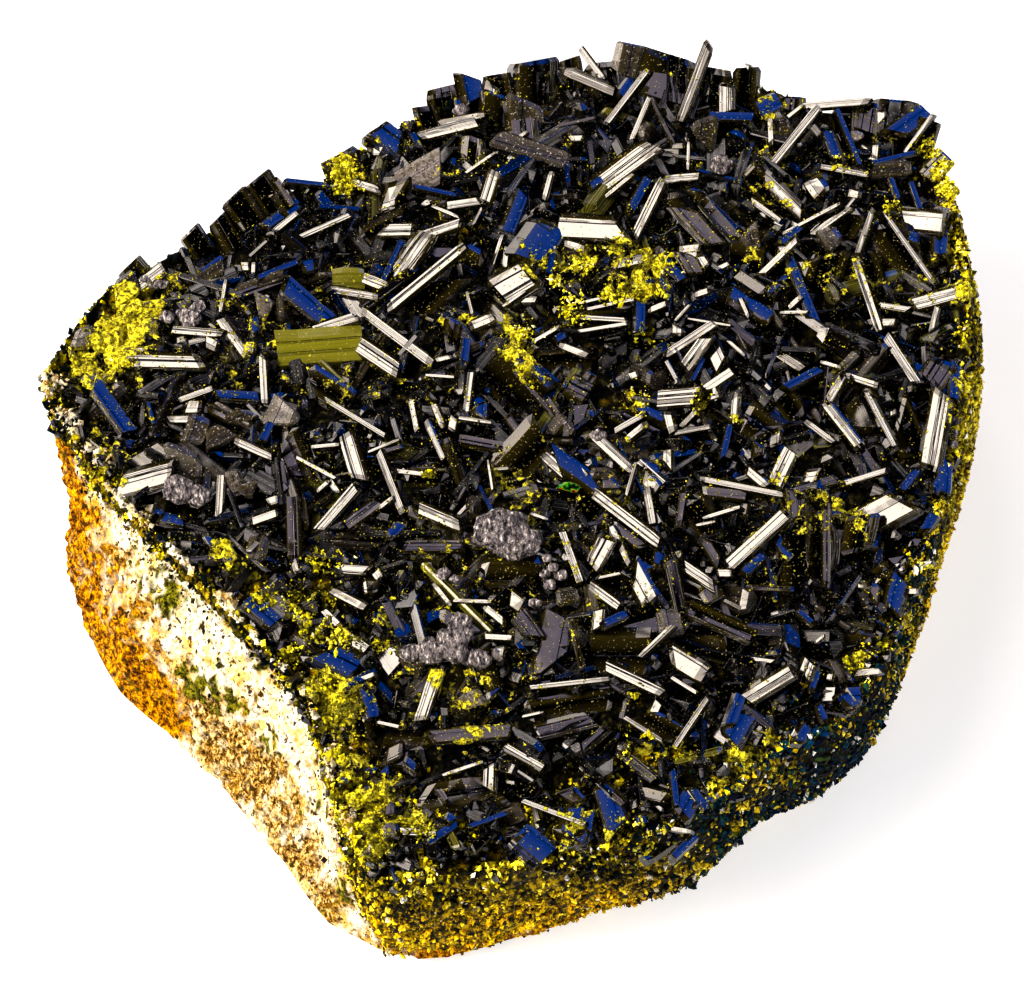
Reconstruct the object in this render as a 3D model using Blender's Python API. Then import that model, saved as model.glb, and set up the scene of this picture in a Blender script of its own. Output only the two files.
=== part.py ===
"""Cabinet specimen of epidote, 100 mm wide: a block of altered host rock with a crust of epidote
grains over its top and sides, overgrown by a jackstraw of dark epidote laths. Base on z = 0."""

import bmesh
import bpy
import numpy as np

MM = 0.001
SEED = 11
CENTRE_Z = 29.5  # top of the crust at the middle
CRUST = 5.2  # crust thickness over the top
GAP = 0.3  # clearance between the rock and the crust
DOME_EDGE = 0.86  # share of the radius inside which the crust has its full thickness
ROUGH = 0.35  # grain relief of the crust
PLAN_HEIGHT = 1.5  # height over the crust at which the positions of the laths are given
FACE_LIFT = 0.8  # height of a level lath's broad face over the crust
LATH_DEPTH = (1.3, 2.4)  # least and most depth of a lath under its broad face
LEAST_COVER = 0.8  # crust left under the lowest corner of a lath

# One row for each station of the outline, anticlockwise from the right: crest x, y, z, then how far
# the foot stands outside the crest, the belly of the wall, and the height where the crust begins.
RIM = np.array([
    (46.0, 0.0, 26.0, -0.3, 1.0, 3), (47.5, 10.0, 26.5, 0.5, 2.2, 3),
    (48.3, 20.0, 27.0, 0.5, 2.0, 4), (47.0, 31.0, 27.5, 1.0, 1.5, 5),
    (45.5, 38.0, 28.0, 0.0, 1.0, 6), (43.0, 42.0, 28.0, -1.0, 1.0, 7),
    (33.5, 42.5, 28.5, 0.0, 1.0, 8), (26.5, 46.0, 29.0, -1.0, 1.0, 8),
    (20.0, 47.5, 29.0, -1.0, 1.0, 8), (11.0, 47.5, 29.0, -1.0, 1.0, 8),
    (2.0, 47.0, 29.0, 0.0, 1.0, 9), (-7.3, 43.0, 29.0, 0.0, 1.0, 9),
    (-14.0, 39.0, 29.0, 0.0, 1.0, 10), (-20.5, 33.0, 28.5, 1.0, 1.0, 10),
    (-27.0, 32.0, 28.0, 0.0, 1.0, 11), (-34.5, 25.0, 28.0, 1.0, 1.0, 12),
    (-43.0, 20.0, 28.0, 0.0, 1.0, 14), (-49.4, 10.0, 27.0, -1.5, 0.0, 20),
    (-48.5, 5.7, 27.0, -0.8, 0.0, 22), (-46.0, 2.2, 27.5, 2.0, 0.3, 25),
    (-43.0, -3.5, 28.0, 3.6, 1.5, 26), (-39.5, -7.0, 28.0, 6.0, 1.5, 26),
    (-35.5, -11.5, 28.0, 7.2, 1.5, 26), (-31.5, -15.7, 28.0, 6.3, 1.0, 26),
    (-27.0, -21.0, 28.0, 5.5, 0.5, 26), (-24.0, -24.5, 28.0, 6.0, 0.0, 26),
    (-20.5, -29.2, 27.5, 6.1, 0.0, 25.5), (-19.0, -34.6, 26.5, 4.6, 0.0, 24.5),
    (-18.0, -38.3, 25.0, 3.1, 0.0, 22.5), (-16.0, -42.6, 23.0, 0.3, 0.5, 12),
    (-13.5, -46.4, 22.0, -1.8, 0.5, 2), (-6.0, -45.7, 22.0, -1.0, 0.5, 2),
    (0.0, -45.1, 22.0, -2.2, 0.5, 2), (9.8, -43.0, 22.0, -3.5, 1.0, 2),
    (20.0, -38.8, 22.0, -2.4, 1.0, 2), (28.0, -33.0, 22.0, -3.8, 1.5, 2),
    (34.0, -29.0, 23.0, -3.4, 1.5, 2), (37.5, -24.0, 24.0, -1.8, 1.5, 3),
    (41.5, -14.0, 25.0, -0.4, 0.5, 3), (44.5, -6.0, 25.5, -0.3, 0.4, 3),
])
RIM = RIM[np.argsort(np.degrees(np.arctan2(RIM[:, 1], RIM[:, 0])) % 360)]
DEG = np.degrees(np.arctan2(RIM[:, 1], RIM[:, 0])) % 360
CREST, TOP, FLARE, BELLY, FOOT = np.hypot(RIM[:, 0], RIM[:, 1]), *RIM[:, 2:].T

# Laths: x, y of the broad face's middle, azimuth in degrees, length, width. Lengths and widths are
# as seen along SIGHT. The group gives the way the broad face looks.
SIGHT = np.array([0.0, -0.5, 0.866])
LEFT = np.array([-0.33, -0.33, 0.885])
RIGHT = np.array([0.30, 0.0, 0.954])
FRONT = np.array([0.05, -0.28, 0.958])
FACING_LEFT = [
    (-7, 39, 14, 6.4, 1.1), (-9.8, 33.2, 33, 5.5, 2.4), (-15.8, 31.8, -20, 3.2, 0.9),
    (-2.5, 31.3, 75, 4.5, 1.1), (-5.3, 29.3, 8, 4, 0.9), (-12.2, 26, 0, 3.6, 1.4),
    (-8, 25.8, 20, 5.5, 1.0), (-20, 26.8, 26, 5.8, 0.6), (-24.3, 27.5, 42, 3.4, 0.6),
    (8.4, 45.4, -28, 6, 1.0), (8.7, 47.8, -58, 4.8, 0.6), (12.4, 43.2, 56, 8.2, 0.6),
    (13.9, 40.4, 70, 5.5, 0.5), (19.8, 45.2, 72, 10.3, 0.8), (23.2, 43, 90, 3.8, 1.3),
    (11.9, 33.8, 40, 8.6, 1.9), (18.2, 32.6, 4, 3.6, 0.9), (14.5, 28.5, 67, 8, 0.9),
    (8.2, 26, -5, 7, 2.3), (35, 42.8, 3, 7.4, 0.8), (30.4, 38.2, 55, 8.8, 0.8),
    (29.1, 30.7, -50, 5.8, 1.1), (27.2, 28.6, -42, 4, 0.6), (35.8, 34, -14, 5, 0.6),
    (32.7, 31.6, -60, 2.3, 1.6), (44, 28, -8, 4.2, 2.2), (34, 27.5, 40, 5, 0.9),
    (37.7, 26, 73, 6.5, 0.6), (42.4, 24.6, -60, 10.4, 0.5), (-37, 10, -2, 9, 1.4),
    (-33.3, 13.5, -6, 5.4, 0.9), (-29.5, 12.7, -57, 5.2, 0.9), (-33.2, 5.8, 22, 3.8, 0.6),
    (-26.1, 7.2, -87, 5.5, 0.7), (-38.5, 20.7, 40, 3.5, 1.2), (-14.4, 10.1, -38, 6, 1.7),
    (-12.2, 12.4, -41, 10, 1.0), (-18.5, 14.2, 17, 4.5, 0.8), (-9.2, 19.8, 43, 11.3, 1.0),
    (-10.9, 22.6, 57, 6.8, 1.6), (-16.7, 18, -12, 5, 0.8), (-15, 19.6, -25, 3.4, 1.2),
    (-16.4, 2.5, -35, 8, 0.5), (-8.1, -0.3, -68, 5, 0.6), (-4.6, 5.5, 84, 5.4, 0.6),
    (0, 19.1, 33, 4.8, 3.2), (12.6, 21.9, 14, 3.6, 1.1), (18.8, 23.2, 5, 2.4, 1.5),
    (9.6, 14.6, -5, 5, 0.5), (18.6, 12.1, 37, 6.3, 0.9), (19.4, 10.3, 55, 4.4, 1.3),
    (20.9, 10, -72, 4, 1.3), (21.4, 7, 38, 4, 0.9), (17.3, 5, 5, 4.2, 2.0),
    (23.3, 4, 86, 3.2, 0.7), (18.8, 1.1, 12, 3.8, 0.5), (12.3, 1.9, 33, 3.8, 0.6),
    (37.7, 18.4, -75, 9.3, 0.8), (40.2, 17, -12, 3.9, 0.7), (45.4, 18.5, 17, 6, 1.4),
    (41.1, 10.7, -62, 6.6, 0.9), (29.4, 9.7, -38, 2.8, 0.9), (36.8, 7.9, -22, 3.5, 0.7),
    (34, 6.8, 62, 3.5, 0.9), (34.6, 2.4, -57, 6.5, 0.9), (38.6, 3.4, -67, 7, 0.5),
    (32.1, 1.5, -42, 3.8, 0.6), (44.3, 2.5, 81, 9.5, 1.7), (-38.6, -4.5, 15, 5.6, 2.4),
    (-30.3, -6.5, 88, 4.8, 0.7), (-27, -1.1, -27, 4.4, 0.8), (-16.7, -2.2, -75, 5.6, 1.5),
    (-12.6, -5.4, -71, 7.8, 0.7), (-7.9, -9.3, -26, 5.4, 1.2), (-18, -8.2, 53, 6.6, 1.0),
    (-16.3, -15.5, -4, 3.2, 1.0), (-16.4, -23.3, -35, 3.8, 1.1), (4.6, -3.5, -47, 4, 1.0),
    (5.8, -3, -47, 5, 1.2), (10.3, -1.7, -47, 6.3, 0.9), (14.3, -4.2, -46, 4.2, 1.0),
    (14.2, -8, -82, 4.2, 0.7), (11.6, -9.3, -42, 9.2, 1.2), (9, -13.2, 65, 4, 1.6),
    (6, -13.8, -73, 6.6, 0.7), (9.4, -18.2, -40, 3.8, 0.9), (13.3, -17, -65, 3.8, 1.8),
    (23.7, -5.4, -13, 8.6, 0.6), (18.8, -15.4, -38, 4.6, 1.0), (25.2, -11.4, 47, 9, 1.3),
    (14.7, -22.8, 48, 5, 0.5), (17.8, -25, -35, 4.4, 2.0), (27.9, -3.2, 68, 5, 1.4),
    (36.3, -3.6, 20, 5.6, 0.6), (38.5, -7.2, 33, 5, 3.0), (26.2, -26.6, 36, 6, 1.3),
    (30, -25.2, 72, 2.6, 1.2), (-8.5, -29, 74, 6.2, 1.2), (-2.4, -37.3, 88, 2.8, 1.0),
    (1, -35.2, -32, 4.8, 0.9), (-9.5, -42.6, 0, 3.6, 0.8), (5.8, -27.6, 8, 8, 0.5),
    (12.4, -27, -28, 6.4, 1.0), (18.1, -31, 60, 6.8, 0.5), (13.3, -32, -35, 4.6, 0.5),
    (4.2, -40.5, -22, 6.8, 0.5),
]
FACING_RIGHT = [
    (-13.2, 38.3, -40, 3.5, 2.6), (-4.2, 44.6, 100, 3, 2), (23.8, 40.8, 0, 4.8, 1.0),
    (13.6, 30.3, 65, 5, 0.9), (0.2, 27.5, 72, 6.5, 1.3), (3.4, 24.6, 60, 5.5, 3.6),
    (28, 42.5, 30, 2.6, 2.0), (36.5, 38.6, -72, 7.5, 0.5), (43.3, 40.8, 40, 5, 2),
    (41.4, 36, 17, 5, 0.5), (46, 25.5, 85, 4, 1.4), (30.1, 25.8, 43, 3.6, 0.7),
    (-41.9, 4.8, -58, 7, 1.4), (-28.7, 5.5, -3, 4.2, 1.1), (-21.9, 17.2, -45, 6.5, 2.0),
    (-24.9, 21.3, 27, 4.5, 0.6), (17.2, 21, -52, 3.2, 0.9), (13.6, 14.8, 88, 3.6, 1.0),
    (30.7, 19.3, -72, 9, 0.9), (46.8, 8.7, 85, 4.5, 1.0), (-25.6, -19.8, -45, 4, 1.6),
    (-17.3, -25.3, -30, 3.8, 3.0), (-14.4, -29.8, -75, 3.4, 1.2), (39.7, -16, 75, 4, 1.6),
    (10.1, -40, -75, 4.6, 2.0), (2.3, -44, -42, 4, 2.2), (22.9, -29, 70, 3.6, 1.1),
]
FACING_FRONT = [
    (1.2, 40, 95, 5, 2.6), (-27, 19, 23, 6, 0.9), (-13, 18.8, 42, 7.6, 1.0),
    (-20.2, 10.9, 5, 9, 3.2), (-17.4, 19.7, 0, 3.4, 1.9), (7, 6, -30, 2.6, 2.2),
    (2.6, 5.2, -52, 7.5, 0.6), (30.6, 7.9, 31, 4.3, 0.8), (45, 9.7, 60, 3.2, 2.6),
    (-34, -3.6, -42, 6.5, 2.6), (-22.6, -10.5, -88, 7.4, 1.1), (-8, -12.8, 0, 6.2, 1.2),
    (16.8, -16.7, -80, 7.6, 1.0), (21.2, -20.4, -27, 8, 1.6), (1.5, -21.5, -58, 3.4, 1.6),
    (29.5, -7.6, 95, 4.6, 1.8), (32.5, -11.5, 89, 10, 0.7), (35.6, -10, 80, 4.6, 2.4),
    (31.5, -4.6, 17, 5, 1.0), (-4.1, -32.9, 5, 8, 1.0), (8, -33.4, 45, 4.4, 0.9),
    (-2.7, -0.8, -12, 5.8, 1.2), (5.4, -32, 15, 6, 1.5), (-15.2, -8.7, 40, 5, 1.2),
]
# Lumps of granular quartz among the laths: x, y, width.
LUMPS = [(-0.8, -11.6, 6.4), (-6.4, -22.8, 5.6), (22.6, 34.8, 2.4), (3.8, -15.4, 2.6)]


def around(deg, column):
    """A column of the outline at these angles."""
    return np.interp(np.asarray(deg) % 360, DEG, column, period=360)


def polar(x, y):
    deg = np.degrees(np.arctan2(y, x))
    return deg, np.hypot(x, y) / around(deg, CREST)


def crust_top(deg, share):
    """Height of the crust at a share of the crest's radius: a low dome that ends on the crest."""
    weight = np.clip(share, 0, 1.05) ** 2.5
    return around(deg, TOP) * weight + CENTRE_Z * (1 - weight)


def contact(deg, share):
    """Height of the rock under the crust: parallel to the top inside, falling to the foot outside."""
    inside = np.clip((1 - share) / (1 - DOME_EDGE), 0, 1) ** 0.7
    return around(deg, FOOT) + (crust_top(deg, share) - CRUST - around(deg, FOOT)) * inside


def ring(radius, height):
    rad = np.radians(DEG)
    return np.stack([radius * np.cos(rad), radius * np.sin(rad), height * np.ones(len(DEG))], 1)


def wall_radius(height):
    """The outside wall at this height: flare towards the foot, belly half way."""
    share = height / TOP
    return CREST + FLARE * (1 - share) + BELLY * np.sin(np.pi * share)


def wall_ring(height):
    return ring(wall_radius(height), height)


def contact_rings():
    """The contact, from the wall inwards."""
    rings = [wall_ring(FOOT)]
    for inward in (0.22, 0.48, 0.74, 1):
        radius = wall_radius(FOOT) * (1 - inward) + CREST * DOME_EDGE * inward
        share = 1 - inward * (1 - DOME_EDGE)
        rings.append(ring(radius, contact(DEG, share)))
    return np.array(rings + [ring(CREST * share, contact(DEG, share)) for share in (0.6, 0.3)])


def clear_of(rings):
    """The same rings moved off their surface by the clearance."""
    along = np.roll(rings, -1, 1) - np.roll(rings, 1, 1)
    normal = np.cross(along, np.gradient(rings, axis=0))
    return rings + 1.2 * GAP * normal / np.linalg.norm(normal, axis=2, keepdims=True)


def material(name, colour, roughness):
    made = bpy.data.materials.new(name)
    made.use_nodes = True
    shader = made.node_tree.nodes["Principled BSDF"]
    shader.inputs["Base Color"].default_value = (*colour, 1)
    shader.inputs["Roughness"].default_value = roughness
    return made


def add_object(name, points, faces, made=None):
    mesh = bpy.data.meshes.new(name)
    mesh.from_pydata((np.asarray(points) * MM).tolist(), [], faces)
    work = bmesh.new()
    work.from_mesh(mesh)
    bmesh.ops.recalc_face_normals(work, faces=work.faces)
    work.to_mesh(mesh)
    work.free()
    obj = bpy.data.objects.new(name, mesh)
    if made:
        mesh.materials.append(made)
        bpy.context.scene.collection.objects.link(obj)
    return obj


def loft(name, first, rings, last, made):
    """A closed skin through the rings, from one end point to the other."""
    count = len(DEG)
    faces = []
    for i in range(count):
        j = (i + 1) % count
        faces.append((0, 1 + j, 1 + i))
        for k in range(len(rings) - 1):
            low, high = 1 + k * count, 1 + (k + 1) * count
            faces.append((low + i, low + j, high + j))
            faces.append((low + i, high + j, high + i))
        top = 1 + (len(rings) - 1) * count
        faces.append((top + i, top + j, 1 + len(rings) * count))
    return add_object(name, np.vstack([[first], *rings, [last]]), faces, made)


def rock_and_crust():
    """The rock up to the contact, and the crust from the contact to its rough top."""
    noise = np.random.default_rng(SEED)
    under = contact_rings()
    foot_wall = [wall_ring(FOOT * s) for s in (0, 0.33, 0.66)]
    for row in foot_wall[1:]:
        row[:, :2] *= 1 + noise.uniform(-0.008, 0.008, (len(DEG), 1))
    rock = [*foot_wall, *under]
    peak = CENTRE_Z - CRUST
    loft("matrix_rock", (0, 0, 0), rock, (0, 0, peak), material("rock", (0.62, 0.5, 0.3), 0.9))
    lining = clear_of(under)[1:]
    run = np.hypot(*(np.roll(RIM[:, :2], -1, 0) - RIM[:, :2]).T)
    slope = np.abs(np.roll(FOOT, -1) - FOOT) / run
    edge = FOOT + 1.2 * GAP * np.hypot(1, np.maximum(slope, np.roll(slope, 1)))
    wall = [wall_ring(edge + (TOP - edge) * s) for s in (0.6, 0.3, 0)]
    skin = [ring(CREST * s, crust_top(DEG, s)) for s in (0.25, 0.5, 0.75, 0.9, 1)]
    for row, rough in zip(skin + wall[:2], (0.2, 0.5, 0.8, 1, 1, 1, 1)):
        row += noise.uniform(-ROUGH, ROUGH, row.shape) * rough
    made = material("epidote", (0.03, 0.035, 0.015), 0.2)
    rings = [*skin, *wall, *lining]
    return loft("epidote_druse", (0, 0, CENTRE_Z), rings, (0, 0, peak + GAP), made)


def lath(row, face, noise):
    """A six-sided lath with oblique ends, its broad face turned to the given direction."""
    x, y, azimuth, length, width = row
    heading = np.array([np.cos(np.radians(azimuth)), np.sin(np.radians(azimuth)), 0])
    reach = heading - SIGHT * (heading @ face) / (SIGHT @ face)
    axis = reach / np.linalg.norm(reach)
    across = np.cross(face, axis)
    shadow = across - SIGHT * across[2] / SIGHT[2]
    width /= abs(heading[0] * shadow[1] - heading[1] * shadow[0])
    half = length * np.linalg.norm(reach) / 2
    depth = np.clip(0.75 * width, *LATH_DEPTH)
    section = np.array([(-0.5, 0), (0.5, 0), (0.62, -0.3), (0.36, -1), (-0.36, -1), (-0.62, -0.3)])
    section = section * (width, depth)
    lift = FACE_LIFT + 0.55 * half * abs(axis[2])
    middle = np.array([x, y, crust_top(*polar(x, y)) + PLAN_HEIGHT])
    middle += SIGHT * (lift - PLAN_HEIGHT) / SIGHT[2]
    skew = noise.uniform(-0.5, 0.5, (2, 2))
    points = [
        middle + axis * (sign * half + s @ k) + across * s[0] + face * s[1]
        for sign, k in zip((-1, 1), skew)
        for s in section
    ]
    return settle(np.array(points)), PRISM


PRISM = [(0, 1, 2, 3, 4, 5), (6, 7, 8, 9, 10, 11)]
PRISM += [(i, (i + 1) % 6, 6 + (i + 1) % 6, 6 + i) for i in range(6)]


def settle(points):
    """Lifts the points until the crust under the lowest of them is thick enough."""
    deg, share = polar(points[:, 0], points[:, 1])
    floor = contact(deg, np.minimum(share, 0.97)) + LEAST_COVER
    points[:, 2] += max(0, (floor - points[:, 2]).max())
    return points


def lump(row, noise):
    """A knobbly ball, flattened, half sunk in the crust."""
    x, y, width = row
    ball = bmesh.new()
    bmesh.ops.create_icosphere(ball, subdivisions=1 if width < 4 else 2, radius=width / 2)
    points = np.array([v.co[:] for v in ball.verts])
    faces = [[v.index for v in f.verts] for f in ball.faces]
    ball.free()
    points *= noise.uniform(0.86, 1.1, (len(points), 1)) * (1, 0.9, 0.62)
    points += (x, y, crust_top(*polar(x, y)) + 0.1 * width)
    return settle(points), faces


def grow_crystals(druse):
    """Fuses every lath and lump with the crust that it grew from."""
    noise = np.random.default_rng(SEED + 1)
    crystals = bpy.data.collections.new("crystals")
    bpy.context.scene.collection.children.link(crystals)
    crystals.hide_render = True
    solids = [lath(row, LEFT, noise) for row in FACING_LEFT]
    solids += [lath(row, RIGHT, noise) for row in FACING_RIGHT]
    solids += [lath(row, FRONT, noise) for row in FACING_FRONT]
    solids += [lump(row, noise) for row in LUMPS]
    for number, (points, faces) in enumerate(solids):
        one = add_object(f"crystal_{number:03d}", points, faces)
        one.hide_render = True
        one.display_type = "WIRE"
        crystals.objects.link(one)
    fuse = druse.modifiers.new("fuse", "BOOLEAN")
    fuse.operation = "UNION"
    fuse.operand_type = "COLLECTION"
    fuse.collection = crystals
    fuse.solver = "EXACT"


for old in list(bpy.data.objects):
    bpy.data.objects.remove(old, do_unlink=True)
grow_crystals(rock_and_crust())
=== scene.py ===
"""Dressed scene of a cabinet specimen of epidote, 100 mm wide: a block of pale rock, its crust of
granular epidote, and a jackstraw of dark laths. Sizes in the tables and shapes are millimetres."""

import bpy
import numpy as np
from mathutils import Matrix


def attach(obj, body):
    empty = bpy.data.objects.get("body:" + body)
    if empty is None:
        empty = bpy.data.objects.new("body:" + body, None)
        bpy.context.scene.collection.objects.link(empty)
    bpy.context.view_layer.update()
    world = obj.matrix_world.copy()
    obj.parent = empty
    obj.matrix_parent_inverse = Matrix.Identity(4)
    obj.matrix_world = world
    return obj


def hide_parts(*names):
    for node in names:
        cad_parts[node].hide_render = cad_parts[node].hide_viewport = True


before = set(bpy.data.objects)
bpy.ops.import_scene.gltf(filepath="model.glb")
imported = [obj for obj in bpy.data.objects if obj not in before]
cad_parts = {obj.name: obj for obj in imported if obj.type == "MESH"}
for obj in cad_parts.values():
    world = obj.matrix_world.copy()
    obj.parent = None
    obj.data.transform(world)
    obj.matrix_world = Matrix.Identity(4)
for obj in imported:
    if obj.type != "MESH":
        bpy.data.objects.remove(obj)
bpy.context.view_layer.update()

# ---- Matrix rock ----------------------------------------------------------------------------
# A block of pale altered granite that the crystals grew on. It was hammered off at the front
# left, where its raw granular face shows, rust-stained along the foot. It rests on a flat base.

MM = 0.001
CENTRE_Z = 29.5  # top of the crust at the middle
CRUST = 5.2  # thickness of the crust over the top
DOME_EDGE = 0.86  # share of the radius inside which the crust has its full thickness
# One row for each station of the outline, anticlockwise from the right: crest x, y, z, then how far
# the foot stands outside the crest, the belly of the wall, and the height where the crust begins.
RIM = np.array([
    (46, 0, 26, -0.3, 1, 3), (47.5, 10, 26.5, 0.5, 2.2, 3), (48.9, 20.3, 27, 0.5, 2, 4),
    (47.6, 31.4, 27.5, 1, 1.5, 5), (45.5, 38, 28, 0, 1, 6), (43, 42, 28, -1, 1, 7),
    (33.5, 42.5, 28.5, 0, 1, 8), (26.5, 46, 29, -1, 1, 8), (20, 47.5, 29, -1, 1, 8),
    (11, 47.5, 29, -1, 1, 8), (2, 47, 29, 0, 1, 9), (-7.3, 43, 29, 0, 1, 9),
    (-14, 39, 29, 0, 1, 10), (-20.5, 33, 28.5, 1, 1, 10), (-27, 32, 28, 0, 1, 11),
    (-34.5, 25, 28, 1, 1, 12), (-43, 20, 28, 0, 1, 14), (-49.4, 10, 27, -1.5, 0, 20),
    (-48.5, 5.7, 27, -0.8, 0, 22), (-46, 2.2, 27.5, 2, 0.3, 25), (-43, -3.5, 28, 3.6, 1.5, 26),
    (-39.5, -7, 28, 6, 1.5, 26), (-35.5, -11.5, 28, 7.2, 1.5, 26), (-31.5, -15.7, 28, 6.3, 1, 26),
    (-27, -21, 28, 5.5, 0.5, 26), (-24, -24.5, 28, 6, 0, 26), (-20.5, -29.2, 27.5, 6.1, 0, 25.5),
    (-19, -34.6, 26.5, 4.6, 0, 24.5), (-18, -38.3, 25, 3.1, 0, 22.5),
    (-16, -42.6, 23, 0.3, 0.5, 12), (-13.5, -46.4, 22, -1.8, 0.5, 2), (-6, -45.7, 22, -1, 0.5, 2),
    (0, -45.1, 22, -2.2, 0.5, 2), (9.8, -43, 22, -3.5, 1, 2), (20, -38.8, 22, -2.4, 1, 2),
    (27.3, -32.2, 22, -3.8, 1.5, 2), (34, -29, 23, -3.4, 1.5, 2), (37.5, -24, 24, -1.8, 1.5, 3),
    (41.5, -14, 25, -0.4, 0.5, 3), (44.5, -6, 25.5, -0.3, 0.4, 3),
])
RIM = RIM[np.argsort(np.degrees(np.arctan2(RIM[:, 1], RIM[:, 0])) % 360)]
STATION = np.degrees(np.arctan2(RIM[:, 1], RIM[:, 0])) % 360
CREST, TOP, FLARE, BELLY, FOOT = np.hypot(RIM[:, 0], RIM[:, 1]), *RIM[:, 2:].T
RAW_FACE = (163, 256)  # degrees between which the rock is bare
RAW_STATIONS, HIDDEN_STATIONS = 380, 140  # columns of the mesh on the bare face and round the rest
BASE_SHARES = (0.4, 0.8, 0.97)  # rings of the base, as shares of the foot's radius
ROCK_WALL_RINGS = 118
DRAWN_UP = (1, 1, 0.62)  # scale of the places that noise reads, so that grains stand upright
# Stains on the raw face: x, y as seen from the lens on the crust's level, and radius.
RUST = [
    (-47.5, 7, 2.4), (-47.5, 3, 3), (-47.5, -1, 3.2), (-47, -5, 3.4), (-46.3, -9, 4),
    (-46, -13.5, 4.8), (-45, -18, 5.4), (-43, -22, 5.8), (-40, -25.5, 4.8), (-37, -29, 3.8),
    (-34.5, -31.5, 2.8), (-45, -25, 3), (-47.5, -15, 3), (-47, -21, 3), (-42, -28, 3),
    (-38, -31, 3),
]
TAN = [
    (-31, -31, 2.6), (-29, -34.5, 3), (-26, -38, 3.4), (-23, -42, 3.2), (-21, -46, 3),
    (-19, -50, 3), (-33, -30, 2), (-41, -13, 1.6), (-38.5, -20, 1.8), (-34, -26, 1.6),
]
MOSS = [
    (-36.4, -15.8, 2), (-34.8, -18.6, 1.9), (-33.4, -26.8, 1.8), (-31.6, -28.9, 2.2),
    (-29.6, -30.4, 1.8), (-24, -34.4, 1.6), (-25.5, -26, 1), (-20, -40.5, 1.2), (-16.5, -47.5, 2.2),
    (-37, -8.5, 1),
]
RUST_FROM_X = -20  # to the right of this the foot is rusty all round
LENS = np.array([0.0, -250.0, 451.0])  # the point from which the tables' places are seen
PLAN_HEIGHT = 1.5  # height over the crust at which the tables' places are given
SEEN_LEVEL = 30.0  # level to which places are slid along their sight lines to be compared


def around(deg, column):
    """A column of the outline at these angles, in straight lines from station to station."""
    return np.interp(np.asarray(deg) % 360, STATION, column, period=360)


def crust_top(deg, share):
    """Height of the crust at a share of the crest's radius: a low dome that ends on the crest."""
    weight = np.clip(share, 0, 1.05) ** 2.5
    return around(deg, TOP) * weight + CENTRE_Z * (1 - weight)


def contact(deg, share):
    """Height of the rock under the crust: parallel to the top inside, falling to the foot beyond."""
    inside = np.clip((1 - share) / (1 - DOME_EDGE), 0, 1) ** 0.7
    return around(deg, FOOT) + (crust_top(deg, share) - CRUST - around(deg, FOOT)) * inside


def at_polar(deg, radius, height):
    """Points at an angle, a radius and a height."""
    rad = np.radians(deg)
    return np.stack(np.broadcast_arrays(radius * np.cos(rad), radius * np.sin(rad), height), -1)


def polar(x, y):
    """Angle, and distance from the middle as a share of the crest's radius."""
    deg = np.degrees(np.arctan2(y, x))
    return deg, np.hypot(x, y) / around(deg, CREST)


def wall(deg, height):
    """A point of the outside wall: crest radius plus flare towards the foot and belly half way."""
    share = height / around(deg, TOP)
    radius = around(deg, CREST) + around(deg, FLARE) * (1 - share)
    return at_polar(deg, radius + around(deg, BELLY) * np.sin(np.pi * share), height)


def outward(points):
    """The level way out from the middle at each point, none on the axis itself."""
    return points * (1, 1, 0) / np.maximum(np.hypot(*points[:, :2].T), 1)[:, None]


def chance(cell, seed):
    """A repeatable number from 0 to 1 for each lattice cell: the decimals of a large sine."""
    value = np.sin(cell @ np.array([127.1, 311.7, 74.7]) + 19.19 * seed) * 43758.5453
    return value - np.floor(value)


def cloud(points, size, seed):
    """Smooth noise from -1 to 1: chances at the corners of a lattice, blended by eased shares."""
    low = np.floor(points / size)
    share = points / size - low
    share = share * share * (3 - 2 * share)
    total = 0
    for corner in np.ndindex(2, 2, 2):
        corner = np.array(corner)
        weight = np.where(corner == 1, share, 1 - share).prod(-1)
        total = total + weight * chance(low + corner, seed)
    return 2 * total - 1


def clouds(points, *layers):
    """Clouds added up, each layer given by its height, its size and its seed."""
    return sum(height * cloud(points, size, seed) for height, size, seed in layers)


def lump(points, size, seed):
    """Packed grains from 0 to 1: one less the distance to the nearest centre, one in each cell."""
    low = np.floor(points / size)
    nearest = np.full(points.shape[:-1], 9.0)
    for step in np.ndindex(3, 3, 3):
        cell = low + np.array(step) - 1
        centre = cell + np.stack([chance(cell, seed + k) for k in range(3)], -1)
        nearest = np.minimum(nearest, np.linalg.norm(points / size - centre, axis=-1))
    return np.clip(1 - nearest, 0, 1)


def lumps(points, *layers):
    """Packed grains added up, each layer given by its height, its size and its seed."""
    return sum(height * lump(points, size, seed) for height, size, seed in layers)


def seen(points):
    """Plan place of a point, slid along its line to the lens to one level."""
    share = (LENS[2] - SEEN_LEVEL) / (LENS[2] - points[..., 2])
    return LENS[:2] + (points[..., :2] - LENS[:2]) * share[..., None]


def table_seen(table):
    """The same for the places of a table, which lie a little over the crust."""
    x, y, radius = np.array(table, float).T
    return np.c_[seen(np.c_[x, y, crust_top(*polar(x, y)) + PLAN_HEIGHT]), radius]


def patches(points, table):
    """Weight of a table of round patches: 1 up to half of each radius, then falling evenly to 0
    at one and a half of it."""
    plan = seen(points)
    weight = np.zeros(plan.shape[:-1])
    for x, y, radius in table_seen(table):
        gap = np.hypot(plan[..., 0] - x, plan[..., 1] - y) / radius
        weight = np.maximum(weight, np.clip(1.5 - gap, 0, 1))
    return weight


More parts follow.
